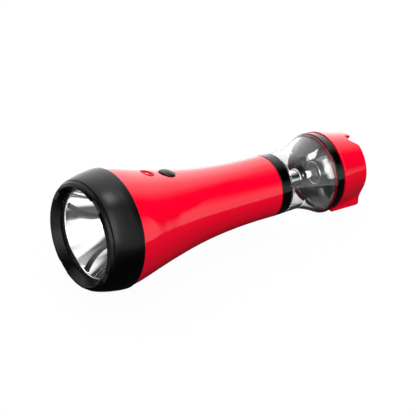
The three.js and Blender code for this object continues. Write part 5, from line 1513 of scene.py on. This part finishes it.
@dataclass
class Tail(Assembly):
    """Red cap with its block and its scoop."""

    front_radius: float = 29.9
    rear_radius: float = 24.5
    length: float = 26.3
    lip: float = 0.8
    lip_width: float = 0.8
    lip_fall: float = 1.0
    edge: float = 0.6
    front_edge: float = 0.3
    inner_edge: float = 0.35
    recess_radius: float = 22.3
    recess_depth: float = 7.8
    ledge_bore: float = 21.1
    ledge_thickness: float = 1.5
    ledge_rise: float = 1.5
    cavity_radius: float = 24.2
    spigot_radius: float = 28.2
    spigot_bore: float = 25.7
    spigot_front: float = 184.75
    chamber_front: float = 192.4
    block_half_width: float = 18.2
    block_drop: float = 26.8
    block_round: float = 2.0
    side_blend: float = 5.5
    base_blend: float = 0.4
    corner_blend: float = 1.2
    fairing: tuple[float, float] = (34.0, 46.0)
    scoop_depth: float = 5.9
    scoop_start: float = 3.2
    scoop_step: float = 0.35
    scoop_level: float = 17.0
    scoop_end: float = 33.0
    angle_spans: tuple[tuple[float, int], ...] = (
        (0, 4), (2.7, 16), (3.7, 45), (36, 59), (124, 89), (150, 59), (210, 89), (236, 83),
    )
    share_spans: tuple[tuple[float, float, int], ...] = (
        (0.02, 0.1, 16), (0.12, 0.86, 36), (0.87, 1, 26),
    )
    first_shares: tuple[float, ...] = (0, 0.004, 0.012)

    def build(self) -> None:
        """Builds and dresses the cap."""
        self.cap()

    def outer_radius(self, station: np.ndarray, angle: np.ndarray) -> np.ndarray:
        """Outside of the cap: the cone, or the block below it, whichever reaches further.

        Args:
            station: stations.
            angle: angles round the axis.

        Returns:
            The radius at each.
        """
        share = (station - AT.collar_rear) / self.length
        low = np.abs(np.pi - np.mod(angle, FULL_TURN))
        fairing = smooth_step(*self.fairing, np.degrees(low))
        past_lip = np.maximum(station - AT.cap_front - self.lip_width, 0)
        lip = self.lip * (1 - smooth_step(0, self.lip_fall, past_lip)) * fairing
        cone = self.front_radius + (self.rear_radius - self.front_radius) * share + lip
        into = np.maximum(station - (AT.cap_rear - self.block_round), 0)
        fall = np.sqrt(np.maximum(self.block_round**2 - into**2, 0))
        drop = self.block_drop - self.block_round + fall
        least_cosine = 1e-3
        sine = np.maximum(np.abs(np.sin(low)), self.block_half_width / (2 * self.front_radius))
        cosine = np.maximum(np.cos(low), least_cosine)
        block = -faired_max(-self.block_half_width / sine, -drop / cosine, self.corner_blend)
        blend = self.base_blend + (self.side_blend - self.base_blend) * fairing
        return np.where(np.cos(low) > least_cosine, faired_max(cone, block, blend), cone)

    def rim_station(self, angle: np.ndarray) -> np.ndarray:
        """Rear face of the cap: steep into the scoop at its start and ramped out at its end.

        Args:
            angle: angles round the axis.

        Returns:
            The station at each angle.
        """
        degrees = np.degrees(np.mod(angle + np.pi, FULL_TURN) - np.pi)
        start, soft = self.scoop_start, self.scoop_step
        steep = smooth_step(start - soft, start + soft, degrees)
        ramp = 1 - smooth_step(self.scoop_level, self.scoop_end, degrees)
        return AT.cap_rear - self.scoop_depth * steep * ramp

    def columns(self) -> np.ndarray:
        """Angles of the columns, in radians, close at the scoop's ends and the block's sides."""
        ends = [start for start, _ in self.angle_spans[1:]] + [360]
        return np.radians(np.concatenate([
            np.linspace(start, end, count + 1)[:-1]
            for (start, count), end in zip(self.angle_spans, ends)
        ]))

    def cap(self) -> None:
        """One closed skin: outside, rounded rear edge, rim, recess, ledge, chamber and spigot."""
        angle = self.columns()[None]
        rim = self.rim_station(angle)
        spans = [np.linspace(*span) for span in self.share_spans]
        share = np.concatenate((self.first_shares, *spans))[:, None]
        straight = rim - self.edge
        stations = AT.cap_front + (straight - AT.cap_front) * share
        inset = edge_inset(stations - AT.cap_front, self.front_edge)
        outer = polar(stations, self.outer_radius(stations, angle) - inset, angle)
        swing = np.radians(np.linspace(0, 90, 9))[1:, None]
        edge_radius = self.outer_radius(straight, angle) - self.edge * (1 - np.cos(swing))
        edge = polar(straight + self.edge * np.sin(swing), edge_radius, angle)
        swing = np.radians(np.linspace(90, 0, 7))[:, None]
        lip = self.inner_edge
        lip_rows = polar(rim - lip + lip * np.sin(swing),
                         self.recess_radius + lip - lip * np.cos(swing), angle)
        ledge = AT.cap_rear - self.recess_depth
        below = ledge - self.ledge_thickness
        inside = rounded([
            (ledge + self.ledge_rise, self.recess_radius, 0), (ledge, self.recess_radius, 0.25),
            (ledge, self.ledge_bore, 0.2), (below, self.ledge_bore, 0.2),
            (below, self.cavity_radius, 0.3), (self.chamber_front, self.cavity_radius, 0.3),
            (self.chamber_front, self.spigot_bore, 0.3), (self.spigot_front, self.spigot_bore, 0.3),
            (self.spigot_front, self.spigot_radius, 0.3), (AT.cap_front, self.spigot_radius, 0.1),
            (AT.cap_front, self.front_radius - self.front_edge, 0),
        ])
        inside_rows = polar(inside[:, :1], inside[:, 1:], angle)
        grid = np.concatenate((outer, edge, lip_rows, inside_rows[:-1]))
        self.surfaces.add("cap", grid, RED, Body.TORCH, "tail_cap", sharp=32)


@dataclass
class Crank(Assembly):
    """Folding crank: cover, arm on its hinge pin, knob and rivet."""

    park_angle: float = -9.0
    running: float = 0.08
    disc_radius: float = 21.9
    disc_edge: float = 0.3
    disc_flat: float = 0.7
    hub_radius: float = 5.3
    hub_length: float = 6.4
    hub_bore: float = 2.48
    hub_sink: float = 0.3
    cup_offset: float = 13.4
    cup_radius: float = 6.5
    cup_wall: float = 0.9
    cup_floor: float = 0.8
    cup_front: float = 204.2
    hinge_station: float = 215.5
    hinge_offset: float = -9.5
    hinge_depth: float = 1.5
    ear_reach: float = 2.4
    ear_sink: float = 0.4
    slot_half: float = 2.8
    tang_half: float = 2.5
    tang_overlap: float = 0.5
    pin_core: float = 0.2
    pin_radius: float = 0.8
    pin_half: float = 4.5
    eye_edge: float = 0.2
    arm_half: float = 4.7
    arm_start: float = -6.8
    arm_rows: int = 240
    arm_end: float = 0.3
    arm_end_rows: tuple[float, float] = (0.5, 0.6)
    tip_radius: float = 21.7
    pad_radius: float = 6.2
    pad_blend: float = 1.2
    arm_edges: tuple[float, float] = (0.55, 0.3)
    panel_depth: float = 0.8
    panel_half: float = 2.5
    panel_ends: tuple[float, float] = (-4.4, 5.4)
    panel_slope: tuple[float, float] = (0.1, 0.05)
    nail_step: float = 1.0
    nail_start: float = 19.5
    nail_slope: float = 0.1
    well_depth: float = 1.2
    well_edges: tuple[float, float] = (0.02, 0.2)
    knob_offset: float = 12.8
    knob_foot: float = 204.5
    knob_top: float = 211.9
    knob_radius: float = 5.4
    knob_flare: float = 2.5
    knob_foot_radius: float = 4.7
    knob_well: float = 1.5
    rivet_radius: float = 1.3
    rivet_head: float = 2.5
    rivet_head_height: float = 1.0
    rivet_ends: tuple[float, float] = (204.7, 216.8)

    @property
    def parked(self) -> Matrix:
        """Turn of the crank about the axis as it is parked."""
        return Matrix.Rotation(math.radians(self.park_angle), 4, "X")

    @property
    def knob_place(self) -> Matrix:
        """Axis of the knob on the parked arm."""
        return self.parked @ Matrix.Translation((0, 0, self.knob_offset))

    def build(self) -> None:
        """Builds and dresses the crank in its parked turn."""
        self.disc()
        self.ears()
        self.arm()
        self.tang()
        self.pin()
        self.knob()
        self.rivet()

    def disc(self) -> None:
        """Round cover drawn from the middle of its cup: from there every direction meets the
        cover's edge once, at a distance found from the chord through the cup's middle."""
        angle = even_turn(256)[None]
        front, rear = AT.disc_front, AT.disc_rear
        floor = self.cup_front - self.cup_floor
        flat, outside = self.disc_radius - self.disc_flat, self.cup_radius + self.cup_wall
        well = rounded([
            (self.cup_front, CORE, 0), (self.cup_front, self.cup_radius, 0.5),
            (rear, self.cup_radius, 0.2), (rear, self.cup_radius + 0.4, 0),
        ])
        cover = rounded([
            (rear, flat, 0), (rear, self.disc_radius, self.disc_edge),
            (front, self.disc_radius, self.disc_edge), (front, flat, 0),
        ])
        cup = rounded([
            (front, outside + 0.1, 0), (front - 0.1, outside, 0.02), (floor, outside, 0.4),
            (floor, CORE, 0),
        ])
        chord = np.sqrt(cover[:, 1:]**2 - (self.cup_offset * np.sin(angle))**2)
        grid = np.concatenate((
            polar(well[:, :1], well[:, 1:], angle),
            polar(cover[:, :1], chord - self.cup_offset * np.cos(angle), angle),
            polar(cup[:, :1], cup[:, 1:], angle),
        )) + (0.0, 0.0, self.cup_offset)
        self.surfaces.add("crank_cover", grid, RED, Body.CRANK, "crank_disc", closed_rows=False,
                          local=self.parked)
        start, end = front - self.hub_length, front + self.hub_sink
        hub = rounded([
            (start, self.hub_bore, 0.2), (start, self.hub_radius, 0.4), (end, self.hub_radius, 0),
            (end, self.hub_bore, 0),
        ], closed=True)
        self.surfaces.add("crank_hub", revolved(hub, 96), RED, Body.CRANK, local=self.parked)

    def eye(self, swing: tuple[float, float], foot: list[tuple[float, float]], low: float,
            high: float) -> np.ndarray:
        """Ring round the hinge pin: each row is the outline drawn in towards the pin by a depth,
        at one level across the torch, with a quarter round at both edges.

        Args:
            swing: first and last angle of the round part, in degrees from the rear towards the
                knob.
            foot: corners of the rest of the outline, from the pin's middle.
            low: lower end across the torch.
            high: upper end across the torch.

        Returns:
            Rows by columns by three; the rows close on themselves.
        """
        turn = np.radians(np.linspace(*swing, 25))
        arc = self.hinge_depth * np.stack((np.cos(turn), np.sin(turn)), axis=1)
        outline = densified(np.concatenate((arc, np.array(foot))), 0.3, closed=True)
        reach = np.linalg.norm(outline, axis=1)
        away = (outline / reach[:, None])[None]
        bend = np.radians(np.linspace(0, 90, 5))[:, None]
        inset = self.eye_edge * (1 - np.sin(bend))
        short = self.eye_edge * (1 - np.cos(bend))
        hole = (reach - self.pin_radius - self.running)[None]
        ones = np.ones_like(hole)
        depth = np.concatenate((hole, inset * ones, inset[::-1] * ones, hole))
        across = np.concatenate((high * ones, (high - short) * ones, (low + short[::-1]) * ones,
                                 low * ones))
        along, up = np.moveaxis(away * (reach[None] - depth)[..., None], -1, 0)
        middle = (self.hinge_station, 0.0, self.hinge_offset)
        return np.stack((along, across, up), axis=-1) + middle

    def ears(self) -> None:
        """Two ears on the cover that hold the hinge pin."""
        sunk = AT.disc_rear - self.ear_sink - self.hinge_station
        foot = [(sunk, self.ear_reach), (sunk, -self.ear_reach)]
        for name, low, high in (
            ("near", -self.arm_half, -self.slot_half), ("far", self.slot_half, self.arm_half),
        ):
            self.surfaces.add(f"crank_ear_{name}", self.eye((-90, 90), foot, low, high), RED,
                              Body.CRANK, local=self.parked)

    def tang(self) -> None:
        """Narrow end of the arm that turns between the ears."""
        reach = self.arm_start + self.tang_overlap - self.hinge_offset
        foot = [(-self.hinge_depth, reach), (self.hinge_depth, reach)]
        grid = self.eye((0, -180), foot, -self.tang_half, self.tang_half)
        self.surfaces.add("arm_tang", grid, ARM_BLACK, Body.ARM, local=self.parked)

    def sunk(self, across: np.ndarray, up: np.ndarray) -> np.ndarray:
        """Depth below the arm's flat back: a long panel, a step for a nail and the rivet's well,
        each a product of smooth steps.

        Args:
            across: distances from the arm's middle line.
            up: distances along the arm.

        Returns:
            The depth at each point.
        """
        first, last = self.panel_ends
        within, past = self.panel_slope
        sides = 1 - smooth_step(self.panel_half - within, self.panel_half + past, np.abs(across))
        start = smooth_step(first - past, first + within, up)
        panel = sides * start * (1 - smooth_step(last - within, last + past, up))
        nail = smooth_step(self.nail_start - self.nail_slope, self.nail_start + self.nail_slope, up)
        inner, outer = self.well_edges
        distance = np.hypot(across, up - self.knob_offset)
        well = 1 - smooth_step(self.rivet_radius + inner, self.rivet_radius + outer, distance)
        return self.panel_depth * panel + self.nail_step * nail + self.well_depth * well

    def arm(self) -> None:
        """Bar with a round pad, drawn as rounded cross sections from the hinge to the tip. Half
        its width is the larger of the bar's and the pad circle's, faired where they meet."""
        length = self.tip_radius - self.arm_start
        close, first = (value / length for value in self.arm_end_rows)
        share = np.concatenate((
            close * (1 - np.cos(np.linspace(0, math.pi / 2, 6))),
            np.linspace(first, 1 - first, self.arm_rows),
            1 - close * (1 - np.cos(np.linspace(math.pi / 2, 0, 6))),
        ))[:, None]
        up = self.arm_start + share * length
        inset = edge_inset(np.minimum(share, 1 - share) * length, self.arm_end)
        pad = np.sqrt(np.maximum(self.pad_radius**2 - (up - self.knob_offset)**2, 0))
        bar = np.full_like(up, self.arm_half)
        half = np.where(pad > 0, faired_max(pad, bar, self.pad_blend), bar) - inset
        top_edge, low_edge = self.arm_edges
        bend = np.radians(np.linspace(0, 90, 7))[None]
        back = (half - top_edge) * np.linspace(-1, 1, 121)[None]
        right = half - top_edge + top_edge * np.sin(bend)[:, 1:]
        low_right = half - low_edge + low_edge * np.cos(bend)
        flat = (half - low_edge) * np.linspace(1, -1, 21)[None, 1:-1]
        across = np.concatenate(
            (back, right, low_right, flat, -low_right[:, ::-1], -right[:, ::-1]), axis=1)
        tip = np.sqrt(self.tip_radius**2 - across**2)
        along = self.arm_start + share * (tip - self.arm_start)
        depth = self.sunk(across, along)
        rear, front = AT.arm_top - inset, AT.arm_bottom + inset
        corner = top_edge * (1 - np.cos(bend))
        crown = rear - np.concatenate((np.zeros((1, back.shape[1])), corner[:, 1:]), axis=1)
        sole = front + low_edge * (1 - np.sin(bend))
        station = np.concatenate((
            crown - depth[:, :crown.shape[1]], sole, np.repeat(front, flat.shape[1], axis=1),
            sole[:, ::-1], rear - corner[:, :0:-1] - depth[:, -right.shape[1]:],
        ), axis=1)
        grid = np.stack((station, across, along), axis=-1)
        self.surfaces.add("arm_bar", grid, ARM_BLACK, Body.ARM, "crank_arm", closed_rows=False,
                          local=self.parked)

    def pin(self) -> None:
        """Hinge pin across the ears."""
        line = rounded([
            (-self.pin_half, self.pin_core, 0), (-self.pin_half, self.pin_radius, 0.15),
            (self.pin_half, self.pin_radius, 0.15), (self.pin_half, self.pin_core, 0),
        ])
        middle = Matrix.Translation((self.hinge_station, 0, self.hinge_offset))
        self.surfaces.add("hinge_rod", revolved(line, 48), STEEL, Body.CRANK, "hinge_pin",
                          closed_rows=False,
                          local=self.parked @ (middle @ Matrix.Rotation(math.pi / 2, 4, "Z")))

    def knob(self) -> None:
        """Short grip that flares from its foot, bored for the rivet and its head."""
        foot, top = self.knob_foot, self.knob_top
        well = foot + self.knob_well
        bore, room = self.rivet_radius + self.running, self.rivet_head + GAP
        line = rounded([
            (well, bore, 0.1), (well, room, 0.1), (foot, room, 0.15),
            (foot, self.knob_foot_radius, 0.5), (foot + self.knob_flare, self.knob_radius, 1.5),
            (top, self.knob_radius, 0.6), (top, bore, 0.15),
        ], closed=True)
        self.surfaces.add("knob_grip", revolved(line, 128), MOULDING, Body.KNOB, "crank_knob",
                          local=self.knob_place)

    def rivet(self) -> None:
        """Rivet that the knob turns on."""
        first, last = self.rivet_ends
        neck = first + self.rivet_head_height
        line = rounded([
            (first, CORE, 0), (first, self.rivet_head, 0.3), (neck, self.rivet_head, 0.2),
            (neck, self.rivet_radius, 0.1), (last, self.rivet_radius, 0.3), (last, CORE, 0),
        ])
        self.surfaces.add("rivet", revolved(line, 64), STEEL, Body.ARM, "knob_rivet",
                          closed_rows=False, local=self.knob_place)


@dataclass
class Works(Assembly):
    """Pieces inside the torch, which keep their CAD shape."""

    def build(self) -> None:
        """Dresses every CAD node that no surface stands for."""
        slots = {part["node"]: part["material_slot"] for part in frame["record"]["subparts"]}
        for name, node in frame["nodes"].items():
            if node.hide_render:
                continue
            finish = CAD_FINISHES[slots[name]]
            node.data.materials.clear()
            node.data.materials.append(self.surfaces.shader.material(finish))
            LOG.info("CAD piece %s in %s", name, finish.name)


Number = float | bpy.types.NodeSocket


@dataclass
class Graph:
    """Short way to add number nodes to a node tree.

    Args:
        tree: the node tree.
    """

    tree: bpy.types.NodeTree

    def feed(self, socket: bpy.types.NodeSocket, value: Number) -> None:
        """Links a socket or sets its number.

        Args:
            socket: input to feed.
            value: a number or an output.
        """
        if isinstance(value, bpy.types.NodeSocket):
            self.tree.links.new(value, socket)
        else:
            socket.default_value = value

    def math(self, operation: str, *values: Number) -> bpy.types.NodeSocket:
        """Adds a sum, a product or the like.

        Args:
            operation: what the node does.
            values: numbers or outputs that it works on.

        Returns:
            The result.
        """
        node = self.tree.nodes.new("ShaderNodeMath")
        node.operation = operation
        for socket, value in zip(node.inputs, values):
            self.feed(socket, value)
        return node.outputs[0]

    def mix(self, share: Number, first: Number, second: Number) -> bpy.types.NodeSocket:
        """Adds a mix of two numbers.

        Args:
            share: 0 for the first number, 1 for the second.
            first: first number.
            second: second number.

        Returns:
            The mixed number.
        """
        node = self.tree.nodes.new("ShaderNodeMix")
        for name, value in (("Factor", share), ("A", first), ("B", second)):
            self.feed(node.inputs[name], value)
        return node.outputs["Result"]

    def ramp(self, value: Number, low: float, high: float, first: float,
             last: float) -> bpy.types.NodeSocket:
        """Adds a smooth step between two numbers.

        Args:
            value: where to look.
            low: value at which it starts.
            high: value at which it ends.
            first: number at the start.
            last: number at the end.

        Returns:
            The number in between.
        """
        node = self.tree.nodes.new("ShaderNodeMapRange")
        node.interpolation_type = "SMOOTHSTEP"
        for name, number in (
            ("From Min", low), ("From Max", high), ("To Min", first), ("To Max", last),
        ):
            node.inputs[name].default_value = number
        self.feed(node.inputs["Value"], value)
        return node.outputs["Result"]


@dataclass(frozen=True)
class SoftLamp:
    """Flat soft lamp. Lengths in metres.

    Args:
        name: name of the lamp.
        place: its middle.
        size: its width and height.
        power: its power in watts.
        aim: point that it faces.
    """

    name: str
    place: tuple[float, float, float]
    size: tuple[float, float]
    power: float
    aim: tuple[float, float, float] = (0.0, 0.0, 0.0)

    def build(self) -> None:
        """Hangs the lamp."""
        data = bpy.data.lights.new(self.name, "AREA")
        data.shape = "RECTANGLE"
        data.size, data.size_y = self.size
        data.energy = self.power
        lamp = bpy.data.objects.new(self.name, data)
        bpy.context.scene.collection.objects.link(lamp)
        lamp.location = self.place
        facing = Vector(self.aim) - Vector(self.place)
        lamp.rotation_euler = facing.to_track_quat("-Z", "Y").to_euler()


@dataclass
class Studio:
    """Floor, lamps, sky and camera. Lengths in metres, directions of the sky in degrees.

    Args:
        origin: place of the torch's origin.
    """

    origin: np.ndarray
    focal_pixels: float = 1985.4
    image: int = 416
    sensor: float = 36.0
    clip_end: float = 20
    camera_offset: tuple[float, float, float] = (-0.6682, -1.0230, 0.6837)
    forward: tuple[float, float, float] = (0.5205, 0.7060, -0.4797)
    sky: float = 0.62
    flag_left: tuple[float, float] = (-64, -52)
    flag_right: tuple[float, float] = (-14, 16)
    flag_top: tuple[float, float] = (0.64, 0.95)
    shade_edge: tuple[float, float] = (-146, -130)
    far_shade_edge: tuple[float, float] = (120, 140)
    shade_light: float = 0.06
    front_edge: tuple[float, float] = (-78, -64)
    front_light: float = 1.35
    back_edge: tuple[float, float] = (12, 40)
    back_end: tuple[float, float] = (68, 88)
    back_light: float = 0.9
    panel_edge: tuple[float, float] = (-31.5, -28.5)
    panel_top: float = 0.44
    panel_light: float = 0.9
    floor_reach: float = 6.0
    floor_shade: float = 0.03
    floor_roughness: float = 0.9
    floor_specular: float = 0.1
    floor_glow: float = 0.96
    # Painted shadow: a pool round the torch in which gloss rays see the floor's near-black colour.
    painted_shadow_reach: float = 0.145
    painted_shadow_back: float = 0.45
    painted_shadow_turn: tuple[float, float] = (-0.04, -0.01)
    painted_shadow_spread: float = 0.9
    painted_shadow_waist: float = 0.06
    painted_shadow_ends: tuple[float, float] = (-0.15, 0.27)
    painted_shadow_edge: float = 0.012
    lamps: tuple[SoftLamp, ...] = (
        SoftLamp("back", (0.1, 1.25, 1.5), (2.2, 2.2), 8),
        SoftLamp("top", (0.22, -0.12, 1.6), (0.22, 0.55), 6.5, (0.22, -0.14, 0.0)),
        SoftLamp("strip", (-0.22, -1.88, 1.25), (0.1, 2.4), 13, (0.08, 0.0, 0.03)),
        SoftLamp("fill", (-0.95, -2.1, 1.05), (1.2, 2.0), 20),
    )

    def build(self) -> None:
        """Sets up everything round the torch."""
        bpy.context.scene.view_settings.view_transform = "Standard"
        self.floor()
        self.world()
        for lamp in self.lamps:
            lamp.build()
        self.camera()

    def camera(self) -> None:
        """Camera at the photograph's place and angle."""
        data = bpy.data.cameras.new("camera")
        data.sensor_width = self.sensor
        data.lens = self.focal_pixels * self.sensor / self.image
        data.clip_end = self.clip_end
        camera = bpy.data.objects.new("camera", data)
        bpy.context.scene.collection.objects.link(camera)
        camera.location = Vector(self.origin) + Vector(self.camera_offset)
        camera.rotation_euler = Vector(self.forward).to_track_quat("-Z", "Y").to_euler()
        bpy.context.scene.camera = camera

    def floor(self) -> None:
        """Plain pale floor: white to the camera, with the torch's shadow."""
        mesh = bpy.data.meshes.new("floor")
        corners = ((-1, -1, 0), (1, -1, 0), (1, 1, 0), (-1, 1, 0))
        mesh.from_pydata(np.array(corners) * self.floor_reach, [], [(0, 1, 2, 3)])
        floor = bpy.data.objects.new("floor", mesh)
        bpy.context.scene.collection.objects.link(floor)
        material = bpy.data.materials.new("floor")
        material.use_nodes = True
        shader = material.node_tree.nodes["Principled BSDF"]
        shader.inputs["Base Color"].default_value = (*(self.floor_shade,) * 3, 1)
        shader.inputs["Roughness"].default_value = self.floor_roughness
        shader.inputs["Specular IOR Level"].default_value = self.floor_specular
        mesh.materials.append(material)
        self.seen_white(material.node_tree, shader)
        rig.stage(floor)

    def seen_white(self, tree: bpy.types.NodeTree, shader: bpy.types.Node) -> None:
        """Adds a glow to the floor where the camera or a glass looks at it. A gloss sees a
        painted shadow in a pool round the torch, where it meets the floor's near-black colour, and the
        white surroundings outside it. The pool's edge is where the furthest of its four sides is passed.

        Args:
            tree: nodes of the floor's material.
            shader: its principled shader.
        """
        graph = Graph(tree)
        path = tree.nodes.new("ShaderNodeLightPath").outputs
        split = tree.nodes.new("ShaderNodeSeparateXYZ")
        tree.links.new(tree.nodes.new("ShaderNodeTexCoord").outputs["Object"], split.inputs[0])
        along, away = split.outputs["X"], split.outputs["Y"]
        # Painted shadow: the pool round the torch, where gloss rays see the dark floor instead of the white
        # surroundings.
        wider = graph.math("MAXIMUM", graph.math("SUBTRACT", self.painted_shadow_waist, along), 0.0)
        near = graph.math("SUBTRACT", graph.math("SUBTRACT", -self.painted_shadow_reach, away),
                          graph.math("MULTIPLY", wider, self.painted_shadow_spread))
        far_reach = graph.ramp(along, *self.painted_shadow_turn, self.painted_shadow_back, self.painted_shadow_reach)
        side = graph.math("MAXIMUM", near, graph.math("SUBTRACT", away, far_reach))
        ahead = graph.math("SUBTRACT", self.painted_shadow_ends[0], along)
        behind = graph.math("SUBTRACT", along, self.painted_shadow_ends[1])
        outside = graph.math("MAXIMUM", graph.math("MAXIMUM", side, ahead), behind)
        clear = graph.ramp(outside, -self.painted_shadow_edge, self.painted_shadow_edge, 0.0, 1.0)
        gloss = graph.math("MINIMUM", path["Glossy Depth"], 1.0)
        seen = graph.math("MULTIPLY", self.seen_through(graph, path, gloss), self.floor_glow)
        shader.inputs["Emission Color"].default_value = (1, 1, 1, 1)
        tree.links.new(seen, shader.inputs["Emission Strength"])
        mix = tree.nodes.new("ShaderNodeMixShader")
        through = tree.nodes.new("ShaderNodeBsdfTransparent")
        tree.links.new(graph.math("MULTIPLY", gloss, clear), mix.inputs["Fac"])
        tree.links.new(shader.outputs["BSDF"], mix.inputs[1])
        tree.links.new(through.outputs["BSDF"], mix.inputs[2])
        tree.links.new(mix.outputs["Shader"], tree.nodes["Material Output"].inputs["Surface"])

    def world(self) -> None:
        """Soft sky. Looked at, it is white; as a light it is even. A gloss sees a bright front, a
        back light and dark sides, with a dark flag at the front right and a low panel in it."""
        world = bpy.data.worlds.new("studio")
        bpy.context.scene.world = world
        world.use_nodes = True
        tree = world.node_tree
        graph = Graph(tree)
        background = tree.nodes["Background"]
        split = tree.nodes.new("ShaderNodeSeparateXYZ")
        tree.links.new(tree.nodes.new("ShaderNodeTexCoord").outputs["Generated"], split.inputs[0])
        height = split.outputs["Z"]
        turn = graph.math("ARCTAN2", split.outputs["Y"], split.outputs["X"])
        azimuth = graph.math("DEGREES", turn)
        width = graph.math("MULTIPLY", graph.ramp(azimuth, *self.flag_left, 0.0, 1.0),
                           graph.ramp(azimuth, *self.flag_right, 1.0, 0.0))
        flag = graph.math("MULTIPLY", width, graph.ramp(height, *self.flag_top, 1.0, 0.0))
        panel = graph.math("MULTIPLY", graph.ramp(azimuth, *self.panel_edge, 1.0, 0.0),
                           graph.ramp(height, 0.0, self.panel_top, self.panel_light, 0.0))
        front = graph.math(
            "SUBTRACT",
            graph.ramp(azimuth, *self.shade_edge, self.shade_light, self.front_light),
            graph.ramp(azimuth, *self.front_edge, 0.0, self.front_light - 1.0))
        back = graph.math("MULTIPLY", graph.ramp(azimuth, *self.back_edge, 0.0, self.back_light),
                          graph.ramp(azimuth, *self.back_end, 1.0, 0.0))
        far_shade = graph.ramp(azimuth, *self.far_shade_edge, 1.0, self.shade_light)
        shade = graph.math("MULTIPLY", graph.math("ADD", front, back), far_shade)
        mirrored = graph.math("MAXIMUM", graph.math("SUBTRACT", shade, flag), panel)
        path = tree.nodes.new("ShaderNodeLightPath").outputs
        gloss = graph.math("MINIMUM", path["Glossy Depth"], 1.0)
        sharp = graph.math("MULTIPLY", gloss, graph.math("SUBTRACT", 1.0, path["Is Diffuse Ray"]))
        lit = graph.mix(sharp, self.sky, mirrored)
        strength = graph.mix(self.seen_through(graph, path, gloss), lit, 1.0)
        tree.links.new(strength, background.inputs["Strength"])
        background.inputs["Color"].default_value = (1, 1, 1, 1)

    @staticmethod
    def seen_through(graph: Graph, path: bpy.types.bpy_prop_collection,
                     gloss: bpy.types.NodeSocket) -> bpy.types.NodeSocket:
        """One where the camera looks, straight or through glass, with no gloss on the way.

        Args:
            graph: maker of the nodes.
            path: outputs of the light path.
            gloss: one after a gloss.

        Returns:
            The number.
        """
        either = graph.math("MAXIMUM", path["Is Camera Ray"], path["Is Transmission Ray"])
        return graph.math("MULTIPLY", either, graph.math("SUBTRACT", 1.0, gloss))


def write_sizes() -> None:
    """Writes the bounds after loading and before finishing, in metres."""
    bounds = {"loaded": LOADED_BOUNDS, "finished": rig.bounds()}
    with open(SIZE_FILE, "w", encoding="utf-8") as file:
        json.dump(bounds, file, indent=1, default=lambda value: [round(float(v), 7) for v in value])


def main() -> None:
    """Builds the torch piece by piece and the studio round it."""
    logging.basicConfig(level=logging.INFO)
    axes = TorchAxes()
    LOG.info("origin %s", axes.origin)
    surfaces = Surfaces(axes, Shader())
    for assembly in (Head, Shell, Lantern, Tail, Crank, Works):
        assembly(surfaces).build()
        LOG.info("built %s", assembly.__name__)
    Studio(axes.origin).build()
    write_sizes()


if __name__ == "__main__":
    main()
